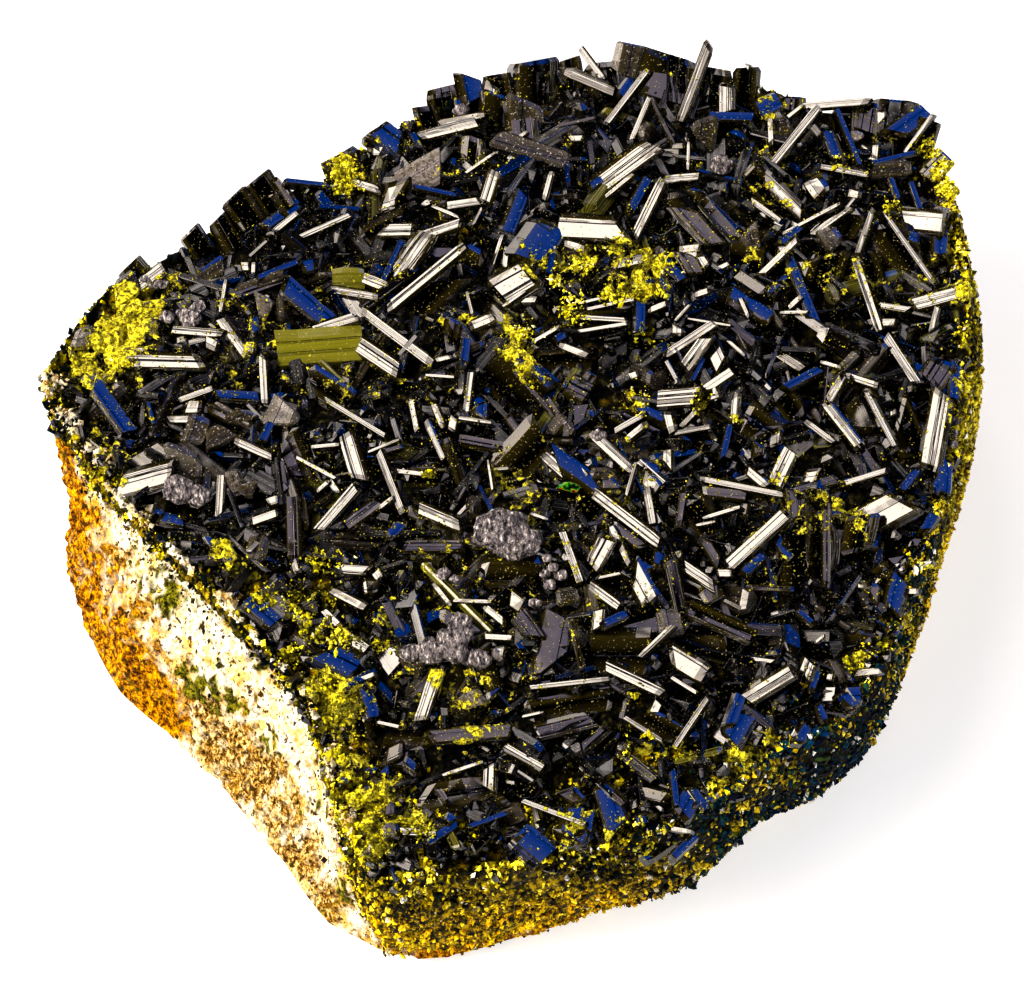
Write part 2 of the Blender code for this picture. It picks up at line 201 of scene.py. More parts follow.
def add_mesh(name, points, faces, look, fields=()):
    """A mesh of points in millimetres, flat faces by corner count, and named numbers or vectors
    for each point."""
    mesh = bpy.data.meshes.new(name)
    corners = np.concatenate([f.ravel() for f in faces])
    sizes = np.concatenate([np.full(len(f), f.shape[1]) for f in faces])
    mesh.vertices.add(len(points))
    mesh.vertices.foreach_set("co", (points * MM).astype(np.float32).ravel())
    mesh.loops.add(len(corners))
    mesh.loops.foreach_set("vertex_index", corners.astype(np.int32))
    mesh.polygons.add(len(sizes))
    mesh.polygons.foreach_set("loop_start", (np.cumsum(sizes) - sizes).astype(np.int32))
    mesh.polygons.foreach_set("use_smooth", np.zeros(len(sizes), bool))
    mesh.update(calc_edges=True)
    for title, values in dict(fields).items():
        kind = "FLOAT" if values.ndim == 1 else "FLOAT_VECTOR"
        stored = mesh.attributes.new(title, kind, "POINT")
        key = "value" if values.ndim == 1 else "vector"
        stored.data.foreach_set(key, values.astype(np.float32).ravel())
    mesh.materials.append(look)
    made = bpy.data.objects.new(name, mesh)
    bpy.context.scene.collection.objects.link(made)
    return made


def loft(rings):
    """Points and faces of a closed skin through rings that start and end as a single point."""
    rows, count = len(rings) - 2, rings[0].shape[0]
    inner = np.concatenate(rings[1:-1])
    points = np.concatenate([rings[0][:1], inner, rings[-1][:1]])
    ids = 1 + np.arange(rows * count).reshape(rows, count)
    turned = np.roll(ids, -1, 1)
    quads = np.stack([ids[:-1], turned[:-1], turned[1:], ids[1:]], -1).reshape(-1, 4)
    first = np.stack([np.zeros(count, int), turned[0], ids[0]], -1)
    last = np.stack([ids[-1], turned[-1], np.full(count, len(points) - 1)], -1)
    return points, [quads, first, last]


def add_node(tree, kind, inputs=(), **settings):
    """A shader node with its settings, its inputs set to values or joined to sockets."""
    made = tree.nodes.new("ShaderNode" + kind)
    for title, value in settings.items():
        setattr(made, title, value)
    for title, value in dict(inputs).items():
        if isinstance(value, bpy.types.NodeSocket):
            tree.links.new(value, made.inputs[title])
        else:
            made.inputs[title].default_value = value
    return made


def ramp(tree, factor, stops):
    """Colour by a factor, through (position, colour) stops."""
    made = add_node(tree, "ValToRGB", {"Fac": factor})
    band = made.color_ramp.elements
    while len(band) < len(stops):
        band.new(0.5)
    for element, (place, colour) in zip(band, stops):
        element.position = place
        element.color = (*colour, 1)
    return made.outputs["Color"]


def mixed(tree, factor, low, high, way="MIX"):
    """Two colours mixed by a factor."""
    made = add_node(tree, "MixRGB", {"Fac": factor, "Color1": low, "Color2": high}, blend_type=way)
    return made.outputs["Color"]


def mapped(tree, where, scale, turn=(0, 0, 0)):
    """Coordinates scaled and turned."""
    return add_node(tree, "Mapping", {"Vector": where, "Scale": scale, "Rotation": turn}).outputs[0]


def noise(tree, where, scale, detail=4.0, rough=0.6):
    """Fractal noise, with the scale in turns per metre."""
    inputs = {"Vector": where, "Scale": scale, "Detail": detail, "Roughness": rough}
    return add_node(tree, "TexNoise", inputs).outputs["Fac"]


def ranged(tree, value, low, high, to_low=0.0, to_high=1.0):
    """A value carried from the range low to high into the range to_low to to_high."""
    return add_node(tree, "MapRange", {
        "Value": value, "From Min": low, "From Max": high, "To Min": to_low, "To Max": to_high,
    }).outputs["Result"]


def new_look(name):
    """A material's name, tree, shader and Object coordinates."""
    made = bpy.data.materials.new(name)
    made.use_nodes = True
    tree = made.node_tree
    where = add_node(tree, "TexCoord").outputs["Object"]
    return made, tree, tree.nodes["Principled BSDF"], where


def field(tree, name, output="Fac"):
    """A number or vector that the mesh holds for each point."""
    return add_node(tree, "Attribute", attribute_name=name).outputs[output]


def bumped(tree, height, distance, strength=1.0, under=None):
    """Fine relief of a height, its distance in millimetres, laid over the relief under it."""
    inputs = {"Height": height, "Distance": distance * MM, "Strength": strength}
    if under:
        inputs["Normal"] = under
    return add_node(tree, "Bump", inputs).outputs["Normal"]


def surface(tree, shader, colour, rough, shine=0.5, relief=None):
    """The shader's base colour, roughness, specular level and relief."""
    tree.links.new(colour, shader.inputs["Base Color"])
    shader.inputs["Roughness"].default_value = rough
    shader.inputs["Specular IOR Level"].default_value = shine
    if relief:
        tree.links.new(relief, shader.inputs["Normal"])


def rock_look():
    """Cream feldspar with white, brown and black grains, stained by rust, clay and moss green."""
    look, tree, shader, where = new_look("altered_granite")
    where = mapped(tree, where, DRAWN_UP)
    grain = noise(tree, where, 1900, 4, 0.8)
    cream = ramp(tree, grain, [
        (0.31, (0.12, 0.08, 0.02)), (0.38, (0.6, 0.43, 0.14)), (0.44, (0.95, 0.86, 0.56)),
        (0.52, (1.0, 0.98, 0.88)),
    ])
    tan = ramp(tree, grain, [
        (0.39, (0.02, 0.01, 0.002)), (0.46, (0.18, 0.085, 0.006)), (0.51, (0.55, 0.32, 0.05)),
        (0.57, (0.95, 0.72, 0.24)), (0.65, (1.0, 0.95, 0.7)),
    ])
    rust = ramp(tree, noise(tree, where, 1500, 5, 0.8), [
        (0.38, (0.02, 0.006, 0.0005)), (0.46, (0.2, 0.065, 0.0005)), (0.52, (0.62, 0.29, 0.0005)),
        (0.58, (0.92, 0.54, 0.001)), (0.7, (1.0, 0.76, 0.012)),
    ])
    moss = ramp(tree, grain, [
        (0.4, (0.008, 0.008, 0.001)), (0.5, (0.12, 0.12, 0.004)), (0.62, (0.5, 0.46, 0.03)),
    ])
    tint = ramp(tree, noise(tree, where, 420, 4, 0.7), [
        (0.48, (1, 1, 1)), (0.62, (1.0, 0.76, 0.3)),
    ])
    colour = mixed(tree, 1.0, cream, tint, "MULTIPLY")
    for name, stain in (("tan", tan), ("rust", rust), ("moss", moss)):
        colour = mixed(tree, field(tree, name), colour, stain)
    brown = ranged(tree, noise(tree, where, 1300, 3), 0.6, 0.63)
    colour = mixed(tree, brown, colour, (0.09, 0.05, 0.008, 1))
    pitted = bumped(tree, noise(tree, where, 1700, 4, 0.75), 0.7)
    surface(tree, shader, colour, 0.75, 0.05, pitted)
    return look


def over_contact(deg, last, steps, gap=0):
    """Rings a gap over the contact: from the last ring inward, by steps given as shares of the way
    to the dome's edge, and on to the middle."""
    outer, crest = np.hypot(*last[:, :2].T), around(deg, CREST)
    rings = []
    for inward in steps:
        share = 1 - inward * (1 - DOME_EDGE)
        radius = outer * (1 - inward) + crest * DOME_EDGE * inward
        rings.append(at_polar(deg, radius, contact(deg, share) + gap))
    rings += [at_polar(deg, crest * s, contact(deg, s) + gap) for s in (0.6, 0.3)]
    return rings + [at_polar(deg, 0, CENTRE_Z - CRUST + gap)]


def rock_rings(deg):
    """Rings from the base's middle, up the wall, over the contact to its middle."""
    foot = around(deg, FOOT)
    rings = [at_polar(deg, 0, 0)]
    rings += [wall(deg, np.zeros_like(deg)) * s for s in BASE_SHARES]
    rings += [wall(deg, foot * s) for s in np.linspace(0, 1, ROCK_WALL_RINGS)]
    return rings + over_contact(deg, rings[-1], (0.22, 0.48, 0.74, 1))


def rock_relief(points, upright):
    """How far the wall stands out: broad and narrow clouds, coarse and fine grains, less pits where
    one more cloud is high, and nothing at the base."""
    push = 0.7 * cloud(points, 8, 3) + 0.7 * cloud(upright, 3.2, 4)
    push += lumps(upright, (0.8, 1.6, 5), (0.6, 0.8, 6)) - 0.7
    push -= 2.0 * np.clip(cloud(upright, 1.9, 8) - 0.4, 0, 1)
    return push * np.clip(points[:, 2] / 1.2, 0, 1)


def rock_stains(points, upright):
    """How much rust, tan clay and moss each point carries: patches with ragged edges, and rust all
    round the foot outside the raw face."""
    ragged = clouds(upright, (0.35, 2.4, 11), (0.35, 0.8, 12))
    ragged += 0.3 * cloud(points * (1, 1, 0.4), 0.5, 14)
    behind = 12 * cloud(upright, 6, 13) * (points[:, 1] > 0)
    foot = np.clip((points[:, 0] - RUST_FROM_X + behind) / 14, 0, 1)
    rust = np.maximum(patches(points, RUST), foot)
    return {
        "rust": np.clip((rust + ragged - 0.25) * 1.8, 0, 1),
        "tan": np.clip((patches(points, TAN) + 1.2 * ragged - 0.25) * 1.6, 0, 1),
        "moss": np.clip((patches(points, MOSS) + 1.7 * ragged - 0.75) * 3, 0, 1),
    }


def make_rock():
    """The lofted block, its wall pushed in and out, with more columns on the bare face."""
    bare = np.linspace(*RAW_FACE, RAW_STATIONS, endpoint=False)
    covered = np.linspace(RAW_FACE[1], RAW_FACE[0] + 360, HIDDEN_STATIONS, endpoint=False)
    deg = np.concatenate([bare, covered])
    points, faces = loft(rock_rings(deg))
    first = 1 + len(BASE_SHARES) * len(deg)
    on_wall = np.zeros(len(points))
    on_wall[first:first + ROCK_WALL_RINGS * len(deg)] = 1
    upright = points * DRAWN_UP
    points += outward(points) * (rock_relief(points, upright) * on_wall)[:, None]
    fields = rock_stains(points, upright)
    return add_mesh("matrix_rock_face", points, faces, rock_look(), fields)


rock = make_rock()
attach(rock, "root")
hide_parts("matrix_rock")

# ---- Crust ----------------------------------------------------------------------------------
# Fine-grained epidote that coats the top and the side walls of the rock, 5 mm thick, near black
# with pistachio green and yellow where it is crushed or weathered. The laths are rooted in it.

GAP = 0.3  # clearance between the rock and the crust
SINK = 1.6  # how far the crust lies under its top's level between the laths
SINK_EDGE = 0.03  # share of the radius over which it rises to that level at the crest
CRUST_STATIONS = 470
CRUST_TOP_RINGS, CRUST_WALL_RINGS = 60, 44
# Pistachio patches: x, y as seen from the lens on the crust's level, and radius.
PISTACHIO = [
    (2.5, 21.2, 1.7), (5, 20.2, 1.6), (7.6, 21.8, 1.4), (6.4, 15.4, 1.2), (6.6, 17.2, 1),
    (10.6, 18.3, 1.4), (13, 18.4, 1.4), (15, 18, 1), (11.5, 23.6, 1.5), (15.5, 22, 1.4),
    (0.2, 10.4, 1.5), (0.6, 12.8, 1.3), (1.8, 7.8, 1.3), (14.1, 12.3, 1.1), (13, 4.4, 1.2),
    (19.6, 4, 0.8), (19.6, 5.8, 0.7), (23.5, 2.5, 0.6), (-40.5, 17, 2.4), (-41, 13.5, 2.8),
    (-43, 10.6, 2.4), (-46.5, 10.2, 2.2), (-49, 9.6, 1.6), (-18, 34.4, 1.3), (-18, 32, 1.2),
    (0.3, 33.3, 1), (-19.4, -14, 1.7), (-20.9, -18.8, 2.2), (-17, -22.6, 1.6), (-20, -22.3, 1.7),
    (-13.2, -21.2, 1.2), (-13.2, -23.6, 1.2), (-19.2, -27.8, 1.5), (-17.8, -31, 2.3),
    (-17, -35.6, 2.5), (-16, -40, 2.4), (-14.5, -43.4, 2.2), (-12.6, -38.6, 1.6), (-9, -41.8, 1.4),
    (-29.8, -12.3, 1.2), (-28.2, -14.7, 1), (-25.5, -18.2, 1.3), (-22.8, -25.1, 1.2),
    (12.5, -43, 2.2), (47.6, 3, 1.6), (48.2, 8, 1.2), (48.5, 14, 1.2), (48.6, 20, 1.2),
    (48.2, 26, 1.2), (47.4, 32, 1.4), (46.6, 34.3, 1.3), (45.2, 37.2, 1.2), (48.2, 30.6, 1.3),
    (45.4, -6, 1), (43.2, -13, 1), (41, -19, 1.2), (37.8, -22, 1.1), (35.3, -23.4, 1.4),
    (26.8, -32.2, 1.5), (27.8, -34.6, 1.6), (21, -37, 1.1), (23.6, -34, 1.3), (13.2, -34.2, 1.7),
    (17, -33.8, 0.9), (12.5, -28.5, 0.8), (-8.6, -4.2, 0.8), (40.9, 29.5, 0.8), (35.8, 35.2, 0.8),
]
# Share of the wall's colour painted dark teal, as the blue reflection of the sky panel where the
# wall lies in the lamp's shade: angle, share.
PAINTED_SKY_STRETCH = np.array([(0, 0.1), (10, 0), (270, 0), (286, 0.1), (298, 1), (335, 1), (350, 0.5)])


def painted_sky_share(deg):
    """Share of the wall's colour painted teal as the sky panel's blue reflection, at these angles.
    """
    return np.interp(deg % 360, *PAINTED_SKY_STRETCH.T, period=360)


def crust_look():
    """Near-black epidote, olive in its grains and pistachio where the crust is weathered."""
    look, tree, shader, where = new_look("epidote_crust")
    where = mapped(tree, where, (1, 1, 0.5))
    dark = ramp(tree, noise(tree, where, 1000, 3, 0.7), [
        (0.45, (0.0005, 0.0005, 0.0005)), (0.58, (0.012, 0.011, 0.004)), (0.68, (0.12, 0.1, 0.03)),
    ])
    green = ramp(tree, noise(tree, where, 1200, 3, 0.75), [
        (0.42, (0.002, 0.0015, 0.0)), (0.5, (0.11, 0.08, 0.001)), (0.6, (0.6, 0.43, 0.004)),
    ])
    grainy = bumped(tree, noise(tree, where, 1500, 4, 0.75), 0.5)
    surface(tree, shader, mixed(tree, field(tree, "green"), dark, green), 0.6, 0.08, grainy)
    return look


def crust_level(deg, share, sunk=1):
    """Height of the crust between the laths: its top's, less a share of SINK but at the crest."""
    return crust_top(deg, share) - sunk * SINK * np.clip((1 - share) / SINK_EDGE, 0, 1)


def crust_rings(deg):
    """Rings from the top's middle out to the crest, down the wall, and back under as a lining."""
    foot, top, crest = (around(deg, column) for column in (FOOT, TOP, CREST))
    rings = [at_polar(deg, 0, CENTRE_Z - SINK)]
    top_shares = np.linspace(0.02, 1, CRUST_TOP_RINGS)
    rings += [at_polar(deg, crest * s, crust_level(deg, s)) for s in top_shares]
    edge = foot + GAP
    rings += [wall(deg, edge + (top - edge) * s) for s in np.linspace(0.97, 0, CRUST_WALL_RINGS)]
    return rings + over_contact(deg, rings[-1], (0.3, 0.65, 1), GAP)


def crust_green(points, deg, share):
    """How weathered each point is: in the patches, low on the wall outside the stretch of painted
    sky reflection, and along the crest over the bare face."""
    low = np.clip((24 - points[:, 2]) / 10, 0, 1) * (share > 0.93) * (1 - painted_sky_share(deg))
    low = np.maximum(low, 0.5 * (share > 0.98) * (around(deg, FOOT) > 20))
    ragged = clouds(points, (0.3, 2, 24), (0.3, 0.8, 25))
    return np.clip((np.maximum(patches(points, PISTACHIO), low) + ragged - 0.2) * 2, 0, 1)


def make_crust():
    """The lofted skin, raised by packed grains and clouds on its outside: up on the top, outward on
    the wall."""
    deg = np.linspace(360, 0, CRUST_STATIONS, endpoint=False)
    points, faces = loft(crust_rings(deg))
    outside = np.zeros(len(points))
    outside[:1 + (CRUST_TOP_RINGS + CRUST_WALL_RINGS) * len(deg)] = 1
    push = lumps(points, (0.45, 1.5, 21), (0.3, 0.8, 22)) - 0.3
    push += 0.3 * cloud(points, 4, 23)
    place, share = polar(*points[:, :2].T)
    up = np.clip((1.0 - share) * 12, 0, 1)[:, None]
    points += (outward(points) * (1 - up) + up * (0, 0, 1)) * (push * outside)[:, None]
    fields = {"green": crust_green(points, place, share)}
    return add_mesh("crust_skin", points, faces, crust_look(), fields)


def fix_epidote(piece):
    """Fixes a piece to the specimen as part of its epidote."""
    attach(piece, "root")
    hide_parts("epidote_druse")


crust = make_crust()
fix_epidote(crust)

# ---- Broad laths ----------------------------------------------------------------------------
# The large epidote laths on top: flat black-green blades with fine lengthwise grooves, rooted in
# the crust. Their broad faces mirror the warm lamp to the left or a dim panel overhead.

SIGHT = np.array([0.0, -0.5, 0.866])  # the way from the tables' places up to the lens
LAMP = np.array([-615.0, -115.0, 800.0])
CEILING = np.array([100.0, -50.0, 1010.0])
# Laths: x, y of the broad face's middle, azimuth in degrees, length, width, seen along SIGHT.
LAMP_LATHS = [
    (-7, 39, 14, 6.4, 1.1), (-15.8, 31.8, -20, 3.2, 0.9), (-2.5, 31.3, 75, 4.5, 1.1),
    (-5.3, 29.3, 8, 4, 0.9), (-12.2, 26, 0, 3.6, 1.4), (-8, 25.8, 20, 5.5, 1),
    (-20, 26.8, 26, 5.8, 0.6), (-24.3, 27.5, 42, 3.4, 0.6), (8.4, 45.4, -28, 6, 1),
    (8.7, 47.8, -58, 4.8, 0.6), (12.4, 43.2, 56, 8.2, 0.6), (13.9, 40.4, 70, 5.5, 0.5),
    (19.8, 45.2, 72, 10.3, 0.8), (23.2, 43, 90, 3.8, 1.3), (11.9, 33.8, 40, 8.6, 1.9),
    (18.2, 32.6, 4, 3.6, 0.9), (14.5, 28.5, 67, 8, 0.9), (35, 42.8, 3, 7.4, 0.8),
    (30.4, 38.2, 55, 8.8, 0.8), (29.1, 30.7, -50, 5.8, 1.1), (27.2, 28.6, -42, 4, 0.6),
    (35.8, 34, -14, 5, 0.6), (34, 27.5, 40, 5, 0.9), (37.7, 26, 73, 6.5, 0.6),
    (42.4, 24.6, -60, 10.4, 0.5), (-37, 10, -2, 9, 1.4), (-33.3, 13.5, -6, 5.4, 0.9),
    (-29.5, 12.7, -57, 5.2, 0.9), (-33.2, 5.8, 22, 3.8, 0.6), (-26.1, 7.2, -87, 5.5, 0.7),
    (-38.5, 20.7, 40, 3.5, 1.2), (-14.4, 10.1, -38, 6, 1.7), (-12.2, 12.4, -41, 10, 1),
    (-18.5, 14.2, 17, 4.5, 0.8), (-9.2, 19.8, 43, 11.3, 1), (-10.9, 22.6, 57, 6.8, 1.6),
    (-16.7, 18, -12, 5, 0.8), (-15, 19.6, -25, 3.4, 1.2), (-16.4, 2.5, -35, 8, 0.5),
    (-8.1, -0.3, -68, 5, 0.6), (-4.6, 5.5, 84, 5.4, 0.6), (0, 19.1, 33, 4.8, 3.2),
    (12.6, 21.9, 14, 3.6, 1.1), (9.6, 14.6, -5, 5, 0.5), (18.6, 12.1, 37, 6.3, 0.9),
    (19.2, 10.5, 58, 4.6, 1.2), (17.3, 5, 5, 4.2, 2), (23.3, 4, 86, 3.2, 0.7),
    (18.8, 1.1, 12, 3.8, 0.5), (12.3, 1.9, 33, 3.8, 0.6), (37.7, 18.4, -75, 9.3, 0.8),
    (40.2, 17, -12, 3.9, 0.7), (45.4, 18.5, 17, 6, 1.4), (41.1, 10.7, -62, 6.6, 0.9),
    (29.4, 9.7, -38, 2.8, 0.9), (36.8, 7.9, -22, 3.5, 0.7), (34, 6.8, 62, 3.5, 0.9),
    (34.6, 2.4, -57, 6.5, 0.9), (38.6, 3.4, -67, 7, 0.5), (32.1, 1.5, -42, 3.8, 0.6),
    (44.3, 2.5, 81, 9.5, 1.7), (-38.3, -4.4, 17, 6.2, 2.2), (-30.3, -6.5, 88, 4.8, 0.7),
    (-27, -1.1, -27, 4.4, 0.8), (-16.7, -2.2, -75, 5.6, 1.5), (-12.6, -5.4, -71, 7.8, 0.7),
    (-7.9, -9.3, -26, 5.4, 1.2), (-18, -8.2, 53, 6.6, 1), (-16.3, -15.5, -4, 3.2, 1),
    (-16.4, -23.3, -35, 3.8, 1.1), (4.6, -3.5, -47, 4, 1), (5.8, -3, -47, 5, 1.2),
    (10.3, -1.7, -47, 6.3, 0.9), (14.3, -4.2, -46, 4.2, 1), (14.2, -8, -82, 4.2, 0.7),
    (11.6, -9.3, -42, 9.2, 1.2), (9, -13.2, 65, 4, 1.6), (6, -13.8, -73, 6.6, 0.7),
    (9.4, -18.2, -40, 3.8, 0.9), (23.7, -5.4, -13, 8.6, 0.6), (18.8, -15.4, -38, 4.6, 1),
    (25.2, -11.4, 47, 9, 1.3), (14.7, -22.8, 48, 5, 0.5), (27.9, -3.2, 68, 5, 1.4),
    (36.3, -3.6, 20, 5.6, 0.6), (26.2, -26.6, 36, 6, 1.3), (30, -25.2, 72, 2.6, 1.2),
    (-8.5, -29, 74, 6.2, 1.2), (-2.4, -37.3, 88, 2.8, 1), (1, -35.2, -32, 4.8, 0.9),
    (-9.5, -42.6, 0, 3.6, 0.8), (5.8, -27.6, 8, 8, 0.5), (12.4, -27, -28, 6.4, 1),
    (18.1, -31, 60, 6.8, 0.5), (13.3, -32, -35, 4.6, 0.5), (4.2, -40.5, -22, 6.8, 0.5),
]
CEILING_LATHS = [
    (1.2, 40, 95, 5, 2.6), (-27, 19, 23, 6, 0.9), (-13, 18.8, 42, 7.6, 1), (7, 6, -30, 2.6, 2.2),
    (2.6, 5.2, -52, 7.5, 0.6), (45, 9.7, 60, 3.2, 2.6), (-22.6, -10.5, -88, 7.4, 1.1),
    (-8, -12.8, 0, 6.2, 1.2), (16.8, -16.7, -80, 7.6, 1), (21.2, -20.4, -27, 8, 1.6),
    (1.5, -21.5, -58, 3.4, 1.6), (29.5, -7.6, 95, 4.6, 1.8), (32.5, -11.5, 89, 10, 0.7),
    (35.6, -10, 80, 4.6, 2.4), (31.5, -4.6, 17, 5, 1), (8, -33.4, 45, 4.4, 0.9),
    (-2.7, -0.8, -12, 5.8, 1.2), (5.4, -32, 15, 6, 1.5), (-15.2, -8.7, 40, 5, 1.2),
]
FACE_LIFT = 0.8  # height of a level lath's broad face over the crust
THICKNESS = (1.3, 2.4)  # least and most depth of a lath, three quarters of its width between
STRIP_TILT = 0.04  # spread of the slopes of the strips between a broad face's grooves
HEXAGON = np.array([
    (-0.5, 0), (0.5, 0), (0.62, -0.3), (0.36, -1), (-0.36, -1), (-0.62, -0.3),
])
SECTION_MIDDLE = np.array([0, -0.45])  # the point about which a section is narrowed
# Colour of the body by the lath's tone: black, and for a few laths grey-brown or green.
BLACK_GREEN = [
    (0.0, (0.0002, 0.0002, 0.0002)), (0.8, (0.0008, 0.0008, 0.0008)), (0.88, (0.025, 0.02, 0.012)),
    (0.95, (0.08, 0.065, 0.04)), (0.98, (0.1, 0.1, 0.012)), (1.0, (0.3, 0.28, 0.04)),
]


def unit(vectors):
    """Vectors divided by their length."""
    return vectors / np.linalg.norm(vectors, axis=-1, keepdims=True)


def dot(a, b):
    """The sum of the products of two vectors' parts."""
    return (a * b).sum(-1, keepdims=True)


def seat(rows, source, wobble, dice, shade=1.0, rise=FACE_LIFT):
    """Laths from rows of a table: the broad face halves the angle between lens and source, the
    long edges run as seen, and the middle slides along SIGHT to the height at which it is rooted.
    The tone of the body is a chance from 0 to shade."""
    x, y, azimuth, length, width = np.array(rows, float).T
    plan = np.stack([x, y, crust_top(*polar(x, y)) + PLAN_HEIGHT], 1)
    face = unit(unit(LENS - plan) + unit(source - plan))
    face = unit(face + dice.normal(0, wobble, face.shape))
    heading = np.stack([np.cos(np.radians(azimuth)), np.sin(np.radians(azimuth)), 0 * x], 1)
    reach = heading - SIGHT * dot(heading, face) / dot(SIGHT, face)
    axis = unit(reach)
    across = np.cross(face, axis)
    shadow = across - SIGHT * across[:, 2:] / SIGHT[2]
    width = width / np.abs(heading[:, 0] * shadow[:, 1] - heading[:, 1] * shadow[:, 0])
    half = length * np.linalg.norm(reach, axis=1) / 2
    lift = rise + 0.55 * half * np.abs(axis[:, 2])
    return {
        "middle": plan + SIGHT * ((lift - PLAN_HEIGHT) / SIGHT[2])[:, None],
        "axis": axis, "face": face, "half": half, "width": width,
        "depth": np.clip(0.75 * width, *THICKNESS), "tone": shade * dice.random(len(x)),
    }


def grooved(count, grooves, dice):
    """Sections whose broad edge has strips at slightly different heights and tilts, with a narrow
    V between each two: points across the width, and their heights in widths."""
    share = np.sort(dice.uniform(0.06, 0.94, (count, grooves)), 1)[:, :, None]
    slot = share + dice.uniform(0.012, 0.035, (count, grooves, 1)) * (-1, 0, 1)
    ends = np.zeros((count, 1)), np.ones((count, 1))
    across = np.sort(np.concatenate([ends[0], slot.reshape(count, -1), ends[1]], 1), 1) - 0.5
    height = np.repeat(dice.normal(0, 0.008, (count, grooves + 1)), 3, 1)[:, :-1]
    height[:, 2::3] -= dice.uniform(0.02, 0.09, (count, grooves))
    tilt = dice.normal(0, STRIP_TILT, (count, grooves + 1))
    tilt = tilt * (across[:, 1::3] - across[:, ::3]) / 2
    height[:, ::3] -= tilt
    height[:, 1::3] += tilt
    top = np.stack([across, height - height.max(1, keepdims=True)], -1)
    uneven = dice.uniform((0, -0.25), (0.3, 0.15), (count, 4, 2))
    lower = HEXAGON[2:] + uneven * ((1, 1), (1, 1), (-1, 1), (-1, 1))
    return np.concatenate([top, lower], 1)


def carry(laths, section, along, narrow, slant, twist=0.0):
    """Each section carried along its lath's axis through rings at shares of its half length,
    narrowed about its own middle and tipped by twist at each, and sheared by slant at the ends.
    Gives points, faces, and where each point lies: along, round the girth, and which lath."""
    count, points = len(section), section.shape[1]
    shaped = (section[:, None] - SECTION_MIDDLE) * narrow[..., None, None] + SECTION_MIDDLE
    side = shaped[..., 0] * laths["width"][:, None, None]
    rise = shaped[..., 1] * laths["depth"][:, None, None]
    broad = np.arange(points) < points - 4
    rise[:, :, broad] = shaped[:, :, broad, 1] * laths["width"][:, None, None]
    rise = rise + side * np.asarray(twist)[..., None]
    reach = along[..., None] * laths["half"][:, None, None] + slant[..., None] * side
    across = np.cross(laths["face"], laths["axis"])
    places = laths["middle"][:, None, None]
    for step, way in ((reach, laths["axis"]), (side, across), (rise, laths["face"])):
        places = places + step[..., None] * way[:, None, None]
    ids = np.arange(count * along.shape[1] * points).reshape(count, -1, points)
    turned = np.roll(ids, -1, 2)
    quads = np.stack([ids[:, :-1], ids[:, 1:], turned[:, 1:], turned[:, :-1]], -1)
    ends = np.concatenate([ids[:, 0], ids[:, -1, ::-1]])
    girth = np.linspace(0, 1, points) * 2.6 * laths["width"][:, None]
    which = 9.7 * np.arange(count)[:, None, None]
    lie = np.stack(np.broadcast_arrays(reach, girth[:, None], which), -1)
    return places.reshape(-1, 3), [quads.reshape(-1, 4), ends], lie.reshape(-1, 3)


def maths(tree, way, a, b):
    """Two values joined: added, multiplied, or the larger of them."""
    return add_node(tree, "Math", {0: a, 1: b}, operation=way).outputs[0]


def lath_body(tree, where, stops, streaks, streak, mottle):
    """The body's colour by the lath's tone, streaked along its long edges, mottled, and with an
    olive glow painted on its thin edges, as of light let through them."""
    body = ramp(tree, field(tree, "tone"), stops)
    streaky = ramp(tree, streaks, [(0.4, (0.05, 0.05, 0.05)), (0.6, (1.0, 1.0, 1.0))])
    body = mixed(tree, streak, body, streaky, "MULTIPLY")
    mottled = ramp(tree, noise(tree, where, 2600, 4, 0.8), [
        (0.4, (0.15, 0.14, 0.12)), (0.5, (0.8, 0.8, 0.8)), (0.6, (1.0, 1.0, 1.0)),
    ])
    body = mixed(tree, mottle, body, mottled, "MULTIPLY")
    # Painted olive glow on the edges, as of light let through them.
    painted_edge_glow = maths(tree, "MULTIPLY", field(tree, "edge"), streaks)
    return mixed(tree, painted_edge_glow, body, (0.14, 0.11, 0.015, 1))


def lath_look(name, stops, rough=0.05, lines=0.05, streak=1.0, dust=0.66, mottle=0.0,
              pale=(0.36, 0.31, 0.14, 1)):
    """Epidote's high gloss over its body, with fine bumps that follow the long edges, pale dust
    where fine noise passes the level dust, and a blotchy film of pistachio crumbs."""
    look, tree, shader, where = new_look(name)
    lie = field(tree, "lie", "Vector")
    streaks = noise(tree, mapped(tree, lie, (0.06, 6.0, 1.0)), 1.0, 4, 0.7)
    dusty = ranged(tree, noise(tree, where, 3800, 2), dust, dust + 0.03)
    body = lath_body(tree, where, stops, streaks, streak, mottle)
    body = mixed(tree, dusty, body, pale)
    crumb = noise(tree, where, 2400, 4, 0.75)
    film = ramp(tree, crumb, [
        (0.38, (0.05, 0.045, 0.001)), (0.47, (0.4, 0.36, 0.005)), (0.56, (1.0, 0.92, 0.02)),
        (0.68, (1.0, 1.0, 0.2)),
    ])
    blotch = maths(tree, "ADD", field(tree, "green"), noise(tree, where, 700, 5, 0.75))
    covered = ranged(tree, blotch, 0.66, 0.685)
    tree.links.new(mixed(tree, covered, body, film), shader.inputs["Base Color"])
    dull = ranged(tree, noise(tree, where, 350, 3, 0.6), 0.4, 0.75, rough, rough + 0.1)
    for matt in (dusty, covered):
        dull = maths(tree, "MAXIMUM", dull, matt)
    tree.links.new(dull, shader.inputs["Roughness"])
    shader.inputs["IOR"].default_value = 1.75
    swell = noise(tree, mapped(tree, lie, (0.14, 0.4, 1.0)), 1.0, 2, 0.5)
    relief = bumped(tree, swell, 0.35, 0.7)
    relief = bumped(tree, streaks, 0.07, lines, relief)
    relief = bumped(tree, maths(tree, "MULTIPLY", crumb, covered), 0.3, 0.8, relief)
    tree.links.new(relief, shader.inputs["Normal"])
    return look


